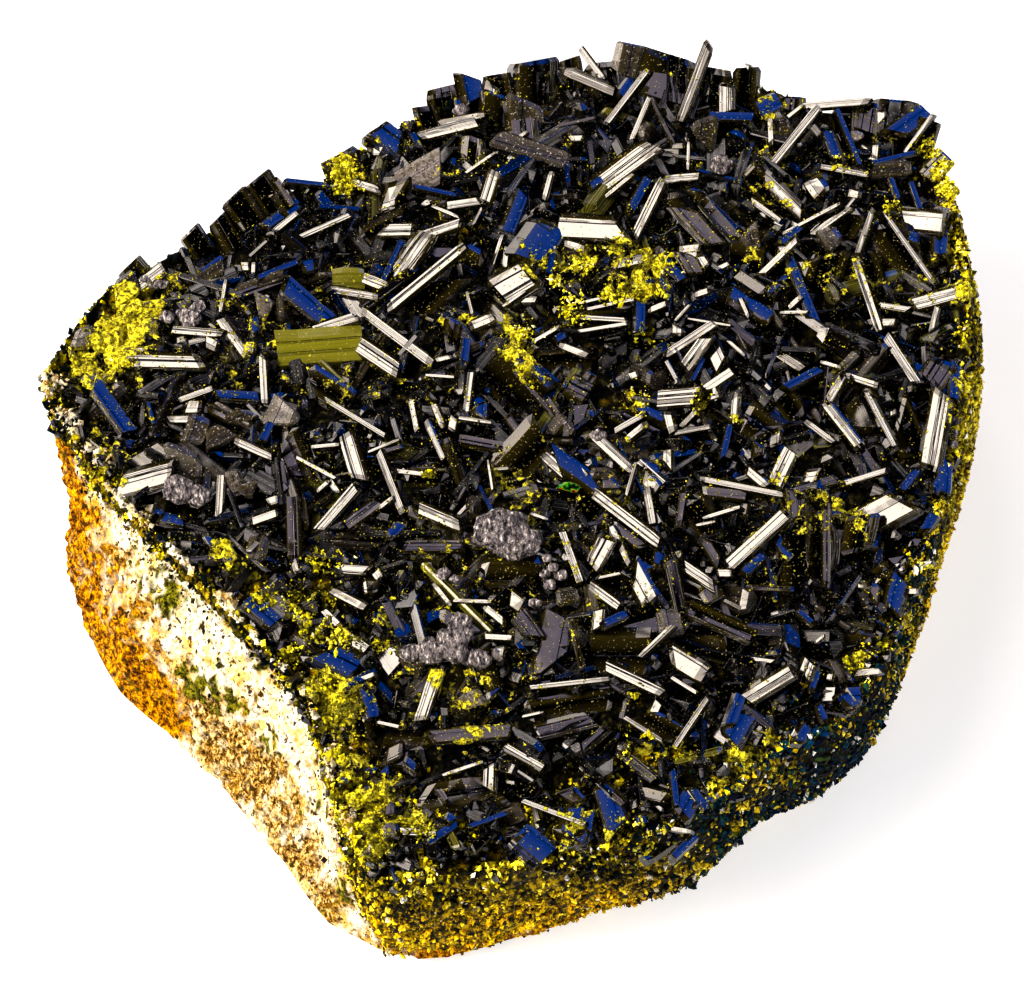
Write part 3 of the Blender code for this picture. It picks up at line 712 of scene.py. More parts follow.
def greened(points):
    """How much pistachio film a point of a lath may carry: much in the patches, else little."""
    return 0.28 * patches(points, PISTACHIO) + clouds(points, (0.14, 7, 51), (0.1, 2, 52))


def make_laths(name, groups, grooves, look, dice, blunt=0.9, skew=0.45):
    """One mesh of laths, six rings each: a bevelled tip, four along the length, a tip. Gives the
    piece and its laths as one set."""
    laths = {key: np.concatenate([g[key] for g in groups]) for key in groups[0]}
    count = len(laths["half"])
    tip = np.minimum(dice.uniform(0.12, 0.9, count) / laths["half"], 0.35)[:, None]
    along = np.concatenate([
        np.full((count, 1), -1), tip - 1, dice.uniform(-0.5, -0.2, (count, 1)),
        dice.uniform(0.2, 0.5, (count, 1)), 1 - tip, np.full((count, 1), 1),
    ], 1)
    narrow = np.concatenate([
        dice.uniform(blunt - 0.2, blunt + 0.05, (count, 1)), dice.uniform(0.95, 1.02, (count, 4)),
        dice.uniform(blunt - 0.2, blunt + 0.05, (count, 1)),
    ], 1)
    slant = np.repeat(dice.normal(0, skew, (count, 2)), 3, 1)
    slant[:, 2:4] *= 0.3
    twist = dice.normal(0, 0.014, (count, 6))
    section = grooved(count, grooves, dice)
    points, faces, lie = carry(laths, section, along, narrow, slant, twist)
    # The two outer long edges of the broad face get a painted olive glow, as of light let through
    # thin epidote.
    painted_glow_rim = np.zeros(section.shape[1])
    painted_glow_rim[[0, -5]] = 0.5
    fields = {
        "lie": lie, "tone": np.repeat(laths["tone"], len(points) // count),
        "green": greened(points), "edge": np.tile(painted_glow_rim, len(points) // len(painted_glow_rim)),
    }
    return add_mesh(name, points, faces, look, fields), laths


black_look = lath_look("epidote_lath", BLACK_GREEN)
dice = np.random.default_rng(31)
broad, broad_set = make_laths("broad_laths", [
    seat(LAMP_LATHS, LAMP, 0.03, dice, 0.9),
    seat(CEILING_LATHS, CEILING, 0.05, dice, 0.8),
], 5, black_look, dice)
fix_epidote(broad)

# ---- Plain laths ----------------------------------------------------------------------------
# Laths of the same epidote whose broad faces have hardly a groove, rooted in the crust as well.
# Most lean back and mirror the blue panel behind on the right.

SKY = np.array([496.0, 500.0, 730.0])
# Rows as for the broad laths.
PLAIN_LATHS = [
    (8.2, 26, -5, 7, 2.3), (44, 28, -8, 4.2, 2.2), (38.5, -7.2, 33, 5, 3),
    (32.7, 31.6, -60, 2.3, 1.6), (18.8, 23.2, 5, 2.4, 1.5), (17.8, -25, -35, 4.4, 2),
    (13.3, -17, -65, 3.8, 1.8), (21.3, 10.7, -69, 4.2, 1.4), (21.4, 7, 38, 4, 0.9),
]
SKY_LATHS = [
    (-13.2, 38.3, -40, 3.5, 2.6), (-4.2, 44.6, 100, 3, 2), (23.8, 40.8, 0, 4.8, 1),
    (13.6, 30.3, 65, 5, 0.9), (0.2, 27.5, 72, 6.5, 1.3), (3.4, 24.6, 60, 5.5, 3.6),
    (28, 42.5, 30, 2.6, 2), (36.5, 38.6, -72, 7.5, 0.5), (43.3, 40.8, 40, 5, 2),
    (41.4, 36, 17, 5, 0.5), (46, 25.5, 85, 4, 1.4), (30.1, 25.8, 43, 3.6, 0.7),
    (-41.9, 4.8, -58, 7, 1.4), (-28.7, 5.5, -3, 4.2, 1.1), (-21.9, 17.2, -45, 6.5, 2),
    (-24.9, 21.3, 27, 4.5, 0.6), (17.2, 21, -52, 3.2, 0.9), (13.6, 14.8, 88, 3.6, 1),
    (30.7, 19.3, -72, 9, 0.9), (46.8, 8.7, 85, 4.5, 1), (-25.6, -19.8, -45, 4, 1.6),
    (-17.3, -25.3, -30, 3.8, 3), (-14.4, -29.8, -75, 3.4, 1.2), (39.7, -16, 75, 4, 1.6),
    (10.1, -40, -75, 4.6, 2), (2.3, -43.4, -42, 4, 2.4), (22.9, -29, 70, 3.6, 1.1),
    (6.6, -41.3, 70, 3.8, 2.6), (17.8, -38.9, 60, 3, 2.2), (45.3, -2.4, 85, 4, 1.4),
    (34.9, -27.4, 20, 2.6, 1.7), (23.1, -30.8, 60, 3.2, 2), (30.6, 7.9, 31, 4.3, 0.9),
]
PROUD_LATH = [(-4.1, -32.9, 5, 8.2, 1.3)]  # stands higher over the crust than the rest
LOW_LATH = [(15.5, -43.2, 35, 4.9, 1.2)]  # lies below the crest at the front

plain, plain_set = make_laths("plain_laths", [
    seat(PLAIN_LATHS, LAMP, 0.015, dice, 0.9),
    seat(SKY_LATHS, SKY, 0.03, dice, 0.6),
    seat(PROUD_LATH, CEILING, 0.0, dice, 0.3, 1.5),
    seat(LOW_LATH, SKY, 0.0, dice, 0.6, -2.4),
], 1, black_look, dice, 0.95)
fix_epidote(plain)

# ---- Olive laths ----------------------------------------------------------------------------
# Two thin blades that let light through and so look olive green, square-ended and grooved. They
# are rooted in the crust left of the middle.

OLIVE_LATHS = [(-20.2, 10.9, 5, 9, 3.2), (-17.4, 19.7, 0, 3.4, 1.9)]
OLIVE = [(0, (0.17, 0.165, 0.011)), (1, (0.24, 0.235, 0.016))]

olive_look = lath_look("olive_lath", OLIVE, 0.2, 0.1, 0.25)
olive_groups = [seat(OLIVE_LATHS, LENS, 0.03, dice)]
olive, olive_set = make_laths("olive_laths", olive_groups, 5, olive_look, dice, 0.99, 0.1)
fix_epidote(olive)

# ---- Dull laths -----------------------------------------------------------------------------
# Epidote crystals whose faces are etched grey-brown and have lost their gloss. They are rooted in
# the crust between the bright ones.

# Rows as for the broad laths, then the tone of the body.
DULL_LATHS = np.array([
    (1.2, 40.6, 90, 4.5, 2.8, 0.4), (12.8, 48.2, 80, 4.2, 2, 0.5), (20.8, 38.8, 85, 3.2, 2.1, 0.3),
    (25.7, 25, -80, 2.6, 1.5, 0.4), (29.2, 39.8, 20, 2.1, 1.9, 0.3),
    (33.9, 25.2, -60, 2.8, 1.5, 0.4), (37.4, 38.6, 60, 1.4, 1, 0.9), (41.1, 34.3, 5, 4.3, 1.4, 0.3),
    (46.2, 28.9, 70, 1.9, 1.3, 0.95), (-45.2, 13.4, 10, 2.8, 1.9, 0.3),
    (-41, 19.3, 40, 3, 2.3, 0.15), (-32.8, 1.3, 75, 3.6, 1.9, 0.25),
    (-30.7, 0.6, 30, 2.8, 1.9, 0.35), (-24, 3.1, 70, 2.8, 2.1, 0.6), (-30, 3.5, -35, 3, 1.2, 0.6),
    (-28.4, 2.8, 30, 2.3, 1.5, 0.3), (-32.3, 20.8, 35, 3.8, 1.2, 0.35),
    (-34.2, -3.4, -28, 4.4, 3.4, 0.35), (-26.8, 19.5, 22, 5.3, 0.9, 0.5),
    (-26, 16.6, -80, 2.3, 1.3, 0.7), (-28.7, -5.2, -75, 3, 1.2, 0.7),
    (-27.3, -6, 20, 1.7, 1.3, 0.5), (5.5, 1.1, 60, 2.1, 1.9, 0.45), (9.3, -4.6, 0, 2.8, 1.5, 0.5),
    (-4.1, -29.5, -60, 1.9, 1.7, 0.8), (-10.1, -25.6, 80, 2.6, 1.9, 0.35),
    (5.7, -18.4, 10, 2.3, 1.5, 0.3), (-1.4, -24.8, 85, 1.2, 0.9, 0.9),
    (16.3, -20.6, -80, 3.2, 2.1, 0.3), (2.3, 36.4, -20, 9, 1.8, 0.12),
    (-9.9, 33.2, 33, 5.4, 2.4, 1),
])
DULL = [(0, (0.006, 0.004, 0.003)), (0.5, (0.07, 0.06, 0.052)), (1, (0.42, 0.38, 0.36))]
DULL_DUST = (0.4, 0.37, 0.33, 1)

dull_look = lath_look("dull_lath", DULL, 0.2, 0.5, 0.6, 0.63, 1.0, DULL_DUST)
dull_groups = [seat(DULL_LATHS[:, :5], LENS, 0.12, dice)]
dull_groups[0]["tone"] = DULL_LATHS[:, 5]
dull, dull_set = make_laths("dull_laths", dull_groups, 1, dull_look, dice, 0.8, 0.5)
fix_epidote(dull)

# ---- Fire facet -----------------------------------------------------------------------------
# One facet beside the pair of bright laths near the middle, with the green, gold and orange
# bands of a thin film's iridescence painted on. It is a small lath rooted in the crust.

FIRE = [(6, -5.9, -20, 2, 0.8)]  # a row as for the broad laths


def painted_fire_look():
    """Painted iridescence: bands of green, gold and orange on black."""
    look, tree, shader, where = new_look("painted_fire_facet")
    painted_fire_bands = ramp(tree, noise(tree, where, 1800, 2, 0.5), [
        (0.38, (0.0, 0.004, 0.001)), (0.48, (0.0, 0.22, 0.01)), (0.53, (0.12, 0.3, 0.0)),
        (0.58, (0.5, 0.12, 0.0)), (0.66, (0.01, 0.002, 0.0)),
    ])
    surface(tree, shader, painted_fire_bands, 0.25)
    return look


fire_groups = [seat(FIRE, LENS, 0.0, dice, 1.0, 1.3)]
fire, _ = make_laths("painted_fire_facet", fire_groups, 1, painted_fire_look(), dice, 0.8, 0.4)
fix_epidote(fire)

# ---- Black slabs ----------------------------------------------------------------------------
# Wide epidote crystals that lie under the bright laths, rooted in the crust, and turn broad black
# faces to the lens.

# Rows as for the broad laths.
BLACK_SLABS = [
    (19.9, 28, -55, 6.6, 2.7), (27.5, 31.4, -50, 6.4, 2.1), (41.5, 24.5, -57, 7, 3.6),
    (36, 26.4, 65, 4.3, 2.1), (38, 21.3, -75, 4.9, 2.8), (25, 22.2, -20, 3.8, 3.2),
    (24.4, 14.4, -35, 4.9, 3.6), (33.2, 20.7, 75, 4.9, 3.6), (37, 3.9, -70, 4.7, 3.4),
    (41.6, 1.8, -68, 5.3, 3.2), (25.6, 1.8, -40, 3.6, 3.4), (29.1, -13.5, -85, 8.5, 3.2),
    (32, -11.8, 88, 7.4, 2.3), (23.8, -7, -20, 6.4, 2.8), (4.7, -23.1, 80, 6, 3.6),
    (11.2, -24.6, 0, 6, 4.3), (-4.5, -28.6, -75, 6.4, 4.3), (-5.7, -38.8, 10, 7.4, 2.8),
    (-0.4, -15.9, 0, 6, 2.6), (-11, -34.8, 0, 4.7, 3.2), (5.9, -30.2, 10, 8.9, 2.1),
    (15.1, -31.8, -30, 5.3, 2.3), (-1.5, 41.7, 80, 3.8, 3.4), (-8.7, 17.5, 50, 4.9, 3),
    (-4.9, 21.9, -35, 4.3, 3), (-4.5, 36.3, 85, 3.6, 2.1), (-0.2, 6.7, -45, 6.6, 4.7),
    (1, -2.8, 52, 7.4, 3.6), (5.7, 9.2, 5, 5.3, 2.3), (7.4, -7.8, -40, 4.3, 3.8),
    (-9, -4.9, 0, 4.9, 1.9), (-23.1, -2.8, -70, 4.9, 2.8), (-19.1, 5.7, -35, 5.3, 2.6),
    (10, -17.1, -20, 4.7, 2.6), (19.4, -8.8, -60, 4.7, 2.6), (13.4, 2, -30, 4.7, 2.3),
    (19.2, -22.9, -20, 6, 2.8), (-16.4, -31.6, -80, 4.3, 2.6), (9.3, 14.4, 10, 4.7, 2.1),
    (-14.1, 25.7, 30, 4.3, 2.1), (29.1, 4.5, -60, 4.3, 2.3), (34.4, -22.4, 10, 5.3, 2.6),
    (9.4, 24.5, -5, 4.3, 1.7),
]

slab_groups = [seat(BLACK_SLABS, LENS, 0.09, dice, 0.8, -0.4)]
slabs, slab_set = make_laths("black_slabs", slab_groups, 2, black_look, dice, 0.85, 0.6)
fix_epidote(slabs)

# ---- Rim crystals ---------------------------------------------------------------------------
# Stout epidote crystals rooted in the crust along the crest behind, where they stand up, lean
# outward and make the skyline.

# x, y, height of the middle, the way they lean outward and how steeply, in degrees, length, width.
RIM_CRYSTALS = [
    (2.6, 46, 29.2, 90, 35, 5, 3.8), (6.6, 47, 29.4, 100, 40, 3.6, 1.6),
    (16.6, 46.6, 29.2, 88, 25, 6, 5.6), (21.8, 45.4, 29.2, 80, 35, 4.4, 2.6),
    (25.6, 45.6, 29, 85, 35, 4.4, 2), (41.4, 41.8, 28.8, 80, 18, 4.2, 3.4),
    (44.8, 39.2, 28.4, 70, 30, 4.4, 2), (45.9, 35.8, 28.2, 40, 25, 3.4, 1.8),
    (-1.5, 44.8, 29.2, 100, 30, 4, 2), (10.2, 46.6, 29.4, 95, 15, 4, 3),
    (30, 42.2, 28.8, 80, 25, 4, 2.2), (36, 41.4, 28.6, 85, 12, 4.5, 2),
    (-17.5, 35.2, 28.6, 120, 30, 4, 2.2), (-24, 31.2, 28.2, 130, 25, 3.6, 2),
    (-30.5, 27.2, 28, 125, 30, 4, 1.8), (-9, 41.2, 28.8, 110, 30, 3.6, 1.8),
    (38.6, 41.6, 28.8, 80, 20, 4, 2.6), (46.6, 33.2, 27.6, 30, 15, 2.6, 1.6),
    (-7.2, 43.4, 28.9, 100, 30, 4, 2.6), (-18.6, 34.6, 28.8, 120, 30, 3.6, 2),
    (-26.4, 31.8, 28.6, 130, 32, 4.2, 2.2), (-28.8, 29.8, 28.6, 132, 32, 4, 2.2),
    (-33.8, 25.8, 28.2, 128, 25, 3.2, 2.2), (-39.6, 21.6, 27.8, 135, 25, 4, 2.2),
]


def leaning(way, lean):
    """Unit vectors that point a way round and lean up from the level, both in radians."""
    return np.stack([np.cos(lean) * np.cos(way), np.cos(lean) * np.sin(way), np.sin(lean)], 1)


def stand(rows, dice):
    """Laths from rows of a table that gives each one's lean, their faces turned up."""
    x, y, z, way, lean, length, width = np.array(rows, float).T
    axis = leaning(np.radians(way), np.radians(lean))
    up = np.array([0, 0, 1.0]) + dice.normal(0, 0.15, axis.shape)
    return {
        "middle": np.stack([x, y, z], 1), "axis": axis, "face": unit(up - axis * dot(axis, up)),
        "half": length / 2, "width": width, "depth": 0.8 * width,
        "tone": 0.75 * dice.random(len(x)),
    }


rim, rim_set = make_laths(
    "rim_crystals", [stand(RIM_CRYSTALS, dice)], 3, black_look, dice, 0.9, 0.15)
fix_epidote(rim)

# ---- Small laths ----------------------------------------------------------------------------
# Needles and chips of the same epidote, half a millimetre wide, that lie between the broad laths,
# rooted in the crust, and throw short bright lines.

# Rows as for the broad laths.
LAMP_CHIPS = [
    (-5.5, 40.4, 10, 5, 0.7), (-3.4, 34.6, 38, 4, 0.35), (-7.2, 28.3, -27, 3.2, 0.35),
    (-3.8, 27.4, 66, 2.7, 0.25), (-2.5, 44.2, 80, 2, 1.2), (-14.6, 36.3, 0, 1.2, 1),
    (-13, 30.3, 20, 2.4, 2.2), (3.8, 31.6, 77, 3.6, 0.45), (11.5, 31.6, 43, 4, 0.4),
    (7, 37.8, 0, 1.5, 0.7), (1, 38.2, 40, 1.6, 0.4), (18, 36.8, 0, 1.3, 0.6),
    (19, 35.5, 88, 3.5, 0.3), (30.6, 41.6, 42, 2.4, 0.4), (28, 38.9, 92, 3.5, 0.5),
    (25.5, 33.8, 50, 2, 0.6), (44, 39.1, 58, 5.7, 0.35), (32, 27.6, 31, 7, 0.35),
    (36.7, 31, 80, 1.3, 1), (40.2, 41.5, 90, 1.5, 0.8), (39.3, 36.8, 85, 2, 0.6),
    (25.6, 47, 85, 1.6, 0.4), (-31.8, 11.9, -30, 1.5, 1.2), (-27.7, 11.3, 85, 1.4, 0.9),
    (-33.5, 4.3, 0, 1.8, 1.4), (-34.5, 2.8, 0, 3, 0.8), (-30.7, 18, 82, 4, 0.35),
    (-28.5, 21.8, 0, 1, 1), (-27.6, 21.5, 88, 1.5, 0.4), (-19, 14.5, 20, 4.5, 0.3),
    (-7.7, 2.6, -70, 3, 0.6), (-3.9, 2.1, -10, 3.4, 0.4), (-6.2, 1.6, 80, 1.6, 0.8),
    (-10.3, 2.8, -80, 4, 0.5), (-7.2, 9.7, 15, 1.7, 0.5), (-7.6, 7.5, -5, 3, 0.3),
    (-3.3, 14.2, 25, 2.8, 1), (-1.6, 23.2, 74, 4, 0.35), (-0.7, 22.4, 85, 2.5, 0.5),
    (-4.5, 16.5, -78, 3, 0.3), (2, 18.2, 60, 2.2, 1.6), (1.7, 17, 0, 1.6, 0.7),
    (0.2, 17.1, 38, 3, 0.3), (6.6, 23.8, -20, 2.2, 0.8), (20.3, 22, -60, 1.8, 0.8),
    (20.2, 18, 20, 1.6, 0.6), (22.3, 21.3, 30, 1.6, 0.5), (9.6, 17.2, 15, 5, 0.35),
    (10.4, 16.4, 13, 5, 0.35), (9.6, 13.5, 10, 5.2, 0.4), (17.4, 13.2, 90, 1.4, 0.9),
    (21, 5.5, 20, 1.6, 1.2), (16.4, 2, -78, 2.6, 0.7), (18.4, 2.4, 50, 2.4, 0.5),
    (12.9, 0.8, 43, 3, 0.6), (6.4, 10.7, -25, 3.2, 0.7), (3.5, 12.6, 33, 3.5, 0.4),
    (12.7, 7.6, 20, 1.1, 0.7), (18, 15.4, 52, 2.4, 0.3), (20.8, 14.3, -12, 4.5, 0.25),
    (15.3, 16.1, 25, 2, 0.6), (23.6, 11.2, -47, 2.6, 0.35), (24.6, 16.2, -70, 2.5, 0.35),
    (28.2, 22.4, 48, 6, 0.6), (29.8, 15.8, 0, 2.8, 0.35), (30, 17.1, 47, 1.9, 0.5),
    (39.7, 15.1, 0, 1.6, 0.8), (44.8, 16, 78, 3.2, 0.5), (33.5, 9.6, -20, 2.3, 0.4),
    (40, 4.3, 90, 0.8, 0.5), (27.4, 0.3, 85, 1.6, 0.9), (28.8, 23.7, 0, 0.8, 0.5),
    (-13.4, -1, 25, 3.6, 0.3), (-10.6, -4.2, -8, 3.4, 0.45), (-2.3, -4.5, -82, 3.6, 0.25),
    (-1.3, -3.8, 5, 2, 0.3), (-13.1, -7.8, 42, 2, 0.4), (-22.3, -15, -75, 1.6, 0.6),
    (-19.6, -5.7, 45, 1.8, 0.4), (-18.5, -5.8, -60, 1.6, 0.6), (-20.4, -3.5, -32, 4.8, 0.4),
    (-19.5, -0.9, 6, 3, 0.4), (-24.8, -7.3, 20, 1.1, 0.9), (-25.6, -9.2, 22, 3, 0.8),
    (-13.9, -16, -60, 1.5, 0.9), (-16.8, -18.8, -30, 4, 0.8), (-18.4, -21, -48, 2.6, 0.7),
    (-7.2, -18.3, -55, 3.2, 0.5), (-4.1, -19, -2, 3.8, 0.4), (-1.8, -20.5, -42, 3, 0.7),
    (-1.6, -22.9, -3, 3, 0.6), (-1.3, -24.4, 80, 1.2, 0.8), (12.3, -4.9, 76, 4, 0.3),
    (14.2, -5.2, -50, 2.4, 1.2), (9.8, -16, 14, 2.6, 0.3), (11.1, -12.5, -68, 4.8, 0.6),
    (8.7, -20.8, 85, 2.4, 0.9), (16.1, -2.4, 90, 2, 0.8), (23.8, -8, 80, 1.3, 0.9),
    (21.6, -8.5, 20, 4, 0.4), (20, -9.8, 14, 2, 0.3), (21.8, -15.3, 0, 1.5, 0.8),
    (0.4, -19.1, -40, 1.8, 1.4), (2.8, -9.4, -22, 1.9, 0.3), (25.3, -4.2, -45, 3, 0.8),
    (31, -3.9, 10, 1.5, 1.2), (25.7, -24.2, -8, 2.4, 0.4), (36.5, -24.7, 8, 2.4, 0.7),
    (42.8, -12.6, 5, 1.4, 0.6), (41.4, -15.7, 0, 1, 0.6), (31.5, -21.8, 45, 1.3, 0.3),
    (-12.5, -32, -13, 2.5, 0.35), (-16.7, -31.3, 10, 1.4, 0.6), (-5, -36.4, 22, 4.4, 0.35),
    (-12, -34.8, 30, 2, 1.2), (-14.7, -27.3, 25, 1.5, 0.5), (17.5, -27.2, -35, 3, 0.4),
    (1.2, -43.7, 60, 1.1, 0.6), (2.1, -30.9, 15, 2.2, 0.3), (16.9, -41.5, -10, 2.4, 0.5),
    (14.5, -38.4, -15, 2.6, 1.2), (28.8, -31.2, 65, 1.4, 0.6), (32.5, -25.5, 80, 0.9, 0.5),
    (25, -27, 40, 2, 1.4),
]
SKY_CHIPS = [
    (-8.2, 31, -13, 4.5, 0.5), (-25.6, 27.8, 42, 2.4, 1), (-22, 32.6, -5, 4.5, 0.5),
    (12.5, 44.8, 60, 2.5, 0.8), (9, 32, 40, 2, 0.8), (34.7, 37.5, -75, 4, 1),
    (41.3, 32, -75, 3, 0.5), (43.6, 31, -75, 4, 0.5), (43, 26, -20, 1.6, 1.2),
    (-27.2, 14.2, -80, 2.6, 0.8), (-36, 20.5, 0, 0.9, 0.9), (-37.8, 3.8, -75, 2.8, 0.3),
    (-32, 22.2, 42, 2.8, 0.6), (-4.9, 10.5, 85, 3.3, 0.8), (-3.2, 3.4, 90, 1.8, 1.2),
    (-21.6, 21.8, 20, 1.5, 1.5), (-25.6, 1, 70, 2.5, 0.8), (-12.8, 22, 70, 6, 0.5),
    (16.2, 18.5, -72, 3, 0.4), (5.1, 12.4, 33, 1, 0.8), (19.6, 8.5, 65, 3, 0.4),
    (22.4, 0, 78, 4, 0.6), (28.3, 19.3, 47, 2.8, 0.6), (46, 4, 81, 4, 0.6), (5.7, 6.5, 0, 0.8, 0.8),
    (8.3, 3, 85, 1, 0.5), (-5.7, 42.6, 90, 1.2, 0.7), (-36.4, -7.4, 80, 2.2, 0.9),
    (-35.2, -9, -15, 2.4, 1.1), (-31, -11.8, -60, 2, 0.7), (-29, -13.4, -60, 2, 1),
    (-12, -10.9, 50, 2.2, 1.1), (10.4, -20.7, 28, 3, 0.9), (15.3, -14, 85, 2, 1.2),
    (13.6, -14.7, 20, 1.2, 1), (41.5, -3.3, 55, 2.8, 0.8), (41.6, -7.3, 30, 1.5, 1.3),
    (28.1, -12.2, -60, 2.8, 0.9), (25, -14, 45, 3, 0.9), (30.3, -19.6, -45, 2.2, 0.5),
    (44.8, -3, 60, 3, 1), (43.5, -7.8, 60, 3, 1), (37.5, -10.8, -20, 1.2, 0.8),
    (31, -26, 70, 2.4, 0.6), (-16.5, -30.4, 20, 2.2, 0.9), (-10.2, -36, -42, 1.8, 0.8),
    (-14.2, -36.5, 45, 1, 0.8), (-12.7, -36.7, 45, 1, 0.8), (-17, -37.5, 30, 1, 0.8),
    (-7, -42.6, 35, 3.5, 0.8), (-6.2, -41.2, -40, 1.2, 0.8), (-2.4, -41.3, 20, 4, 0.5),
    (6.5, -43.2, 20, 3.5, 0.6), (7.8, -41, 80, 2, 0.8), (16.5, -37.5, -85, 4, 0.6),
    (19, -38.3, -60, 3, 0.7), (19.5, -38.5, 20, 2.4, 0.6), (13, -40.8, 0, 1.2, 0.8),
    (17.5, -43, 45, 3.4, 0.8), (29.8, -31, 60, 2.6, 1), (35.3, -27, 0, 1.6, 1.6),
    (31.7, -29, -70, 2.4, 0.7),
]
CEILING_CHIPS = [
    (16.4, 39.8, -68, 7, 0.4), (-24.6, 31.6, -60, 4, 0.6), (7, 40, 15, 4, 0.4),
    (-30.2, 3.2, -32, 3.8, 0.8), (-28.6, 16.6, -50, 2.6, 0.5), (-6.2, 13.5, 80, 2, 1.2),
    (8, 7.2, 60, 1.6, 1.2), (9, 0.7, 0, 1.5, 1.5), (5.5, 0.5, 0, 2, 2), (4.4, 3.5, -60, 3, 0.5),
    (0.4, 1.2, -58, 3.4, 0.7), (19, 21.7, -65, 3, 1.4), (22, 13.8, 60, 1.5, 1.3),
    (31.9, 3.5, -60, 1.5, 0.6), (22.5, 27, -52, 7, 1.2), (20, 26.5, -52, 6, 1.5),
    (-28.9, -5.3, -70, 2.2, 0.6), (-6, -3, -74, 6, 0.7), (-12.5, -1.2, 20, 2, 0.8),
    (-21.5, -9, -85, 4, 0.7), (-14.4, -17.5, 0, 1.5, 1.4), (12, -11.5, -42, 4, 0.9),
    (9.8, -5.3, 0, 2.2, 1.4), (22, -6.2, -8, 4.5, 1), (17.5, -8, 82, 5, 0.6),
    (20.5, -12.9, -62, 3.2, 0.8), (20.5, -17.5, 30, 2.4, 1.6), (6.6, -23.5, -80, 6, 0.5),
    (2.3, -6, -70, 1.4, 0.6), (26.5, -16.7, -3, 5, 0.6), (37, -16, 80, 1.8, 1.6),
    (38.5, -13.8, 40, 1.6, 1.4), (25.8, -1, 90, 1.4, 1), (-4.3, -28.6, 60, 2.2, 2),
    (-12.3, -40.5, 85, 2, 0.8), (-12.2, -42.5, 0, 1.6, 1.6), (-7, -39, -60, 2, 0.5),
    (6, -38.8, 20, 2, 1.6), (11.1, -28.3, -35, 2.6, 0.3),
]

chips, chip_set = make_laths("small_laths", [
    seat(LAMP_CHIPS, LAMP, 0.03, dice, 0.9),
    seat(SKY_CHIPS, SKY, 0.03, dice, 0.6),
    seat(CEILING_CHIPS, CEILING, 0.05, dice, 0.8),
], 1, black_look, dice, 0.85)
fix_epidote(chips)

# ---- Jackstraw mat --------------------------------------------------------------------------
# Thousands of dark laths that cross each other at every angle and fill the hollows between the
# broad ones. They are rooted in the crust and mostly turn their faces away from the lamps.

MAT_COUNT = 2800
MAT_HALF_SIDE = 51  # half the side of the square over which places are tried
MAT_TRIES = 8  # turns about its axis tried for each lath
BRIGHT_SHARE = 0.27  # laths that turn a facet to the lamp, and so throw a sliver of light
FREE_SHARE = 0.14  # laths left as they fell
DEEPEST = 3.5  # a lath that would have to sink further than this is left out
# Leans in degrees, from and to, and the share of the laths that has each.
LEANS = [(-5, 22), (22, 55), (55, 85)]
LEAN_SHARES = (0.55, 0.33, 0.12)
OCTAGON = np.array([
    (-0.45, 0), (0.45, 0), (0.5, -0.05), (0.62, -0.35), (0.36, -1), (-0.36, -1), (-0.62, -0.35),
    (-0.5, -0.05),
])


def turn_about(vectors, axis, angle):
    """Vectors turned about an axis they are square to."""
    return vectors * np.cos(angle) + np.cross(axis, vectors) * np.sin(angle)


def halfway(places, source):
    """The way a face looks when it sends light from the source to the lens."""
    return unit(unit(LENS - places) + unit(source - places))


def chosen_turn(laths, dice):
    """Of a few turns about the axis, the one whose facets are furthest from every mirror angle, or
    for some laths the one nearest to the lamp's, or the first."""
    count = len(laths["half"])
    angle = dice.uniform(-1.3, 1.3, (MAT_TRIES, count, 1))
    axis = np.broadcast_to(laths["axis"], (MAT_TRIES, count, 3))
    face = turn_about(laths["face"][None], axis, angle)
    across = np.cross(face, laths["axis"])
    facets = (face, unit(0.34 * face + 0.94 * across), unit(0.34 * face - 0.94 * across))
    lamp, sky = (
        np.max([dot(facet, halfway(laths["middle"], source))[..., 0] for facet in facets], 0)
        for source in (LAMP, SKY)
    )
    chosen = dice.random(count)
    best = np.where(chosen < BRIGHT_SHARE, lamp.argmax(0), np.maximum(lamp, sky).argmin(0))
    best[chosen > 1 - FREE_SHARE] = 0
    return face[best, np.arange(count)]


def spread_mat(count, dice):
    """Laths at random over the top: most lie low, some lean, a few stand, none far proud. Towards
    the crest they are smaller, lie lower and lean outward."""
    x, y = dice.uniform(-MAT_HALF_SIDE, MAT_HALF_SIDE, (2, count * 3))
    deg, share = polar(x, y)
    wanted = (share < 1.0) & ((share > 0.87) | (dice.random(len(x)) < 0.62))
    keep = np.flatnonzero(wanted)[:count]
    x, y, deg, share = x[keep], y[keep], deg[keep], share[keep]
    count = len(x)
    kind = dice.choice(3, count, p=LEAN_SHARES)
    lean = np.radians(np.choose(kind, [dice.uniform(*ends, count) for ends in LEANS]))
    way = dice.uniform(0, 2 * np.pi, count)
    edge = share > 0.9
    way[edge] = np.radians(deg[edge]) + dice.normal(0, 0.9, edge.sum())
    lean[edge] = np.abs(lean[edge])
    axis = leaning(way, lean)
    longest, widest = (np.interp(share, (0.84, 0.95), ends) for ends in ((5.2, 1.2), (3.4, 0.8)))
    half = np.minimum(np.maximum(dice.lognormal(1.05, 0.42, count), 1.0), longest)
    width = np.minimum(np.maximum(dice.lognormal(0.3, 0.5, count), 0.35), widest)
    proud = dice.uniform(-1.3, 1.0, count) - 0.6 * np.clip((share - 0.88) / 0.12, 0, 1)
    height = crust_top(deg, share) + proud - half * np.abs(np.sin(lean)) * 0.8
    mat = {
        "middle": np.stack([x, y, height], 1), "axis": axis,
        "face": unit(np.array([0, 0, 1.0]) - axis * axis[:, 2:] + 1e-6), "half": half,
        "width": width, "depth": width * dice.uniform(0.55, 1.1, count),
    }
    mat["face"] = chosen_turn(mat, dice)
    return mat


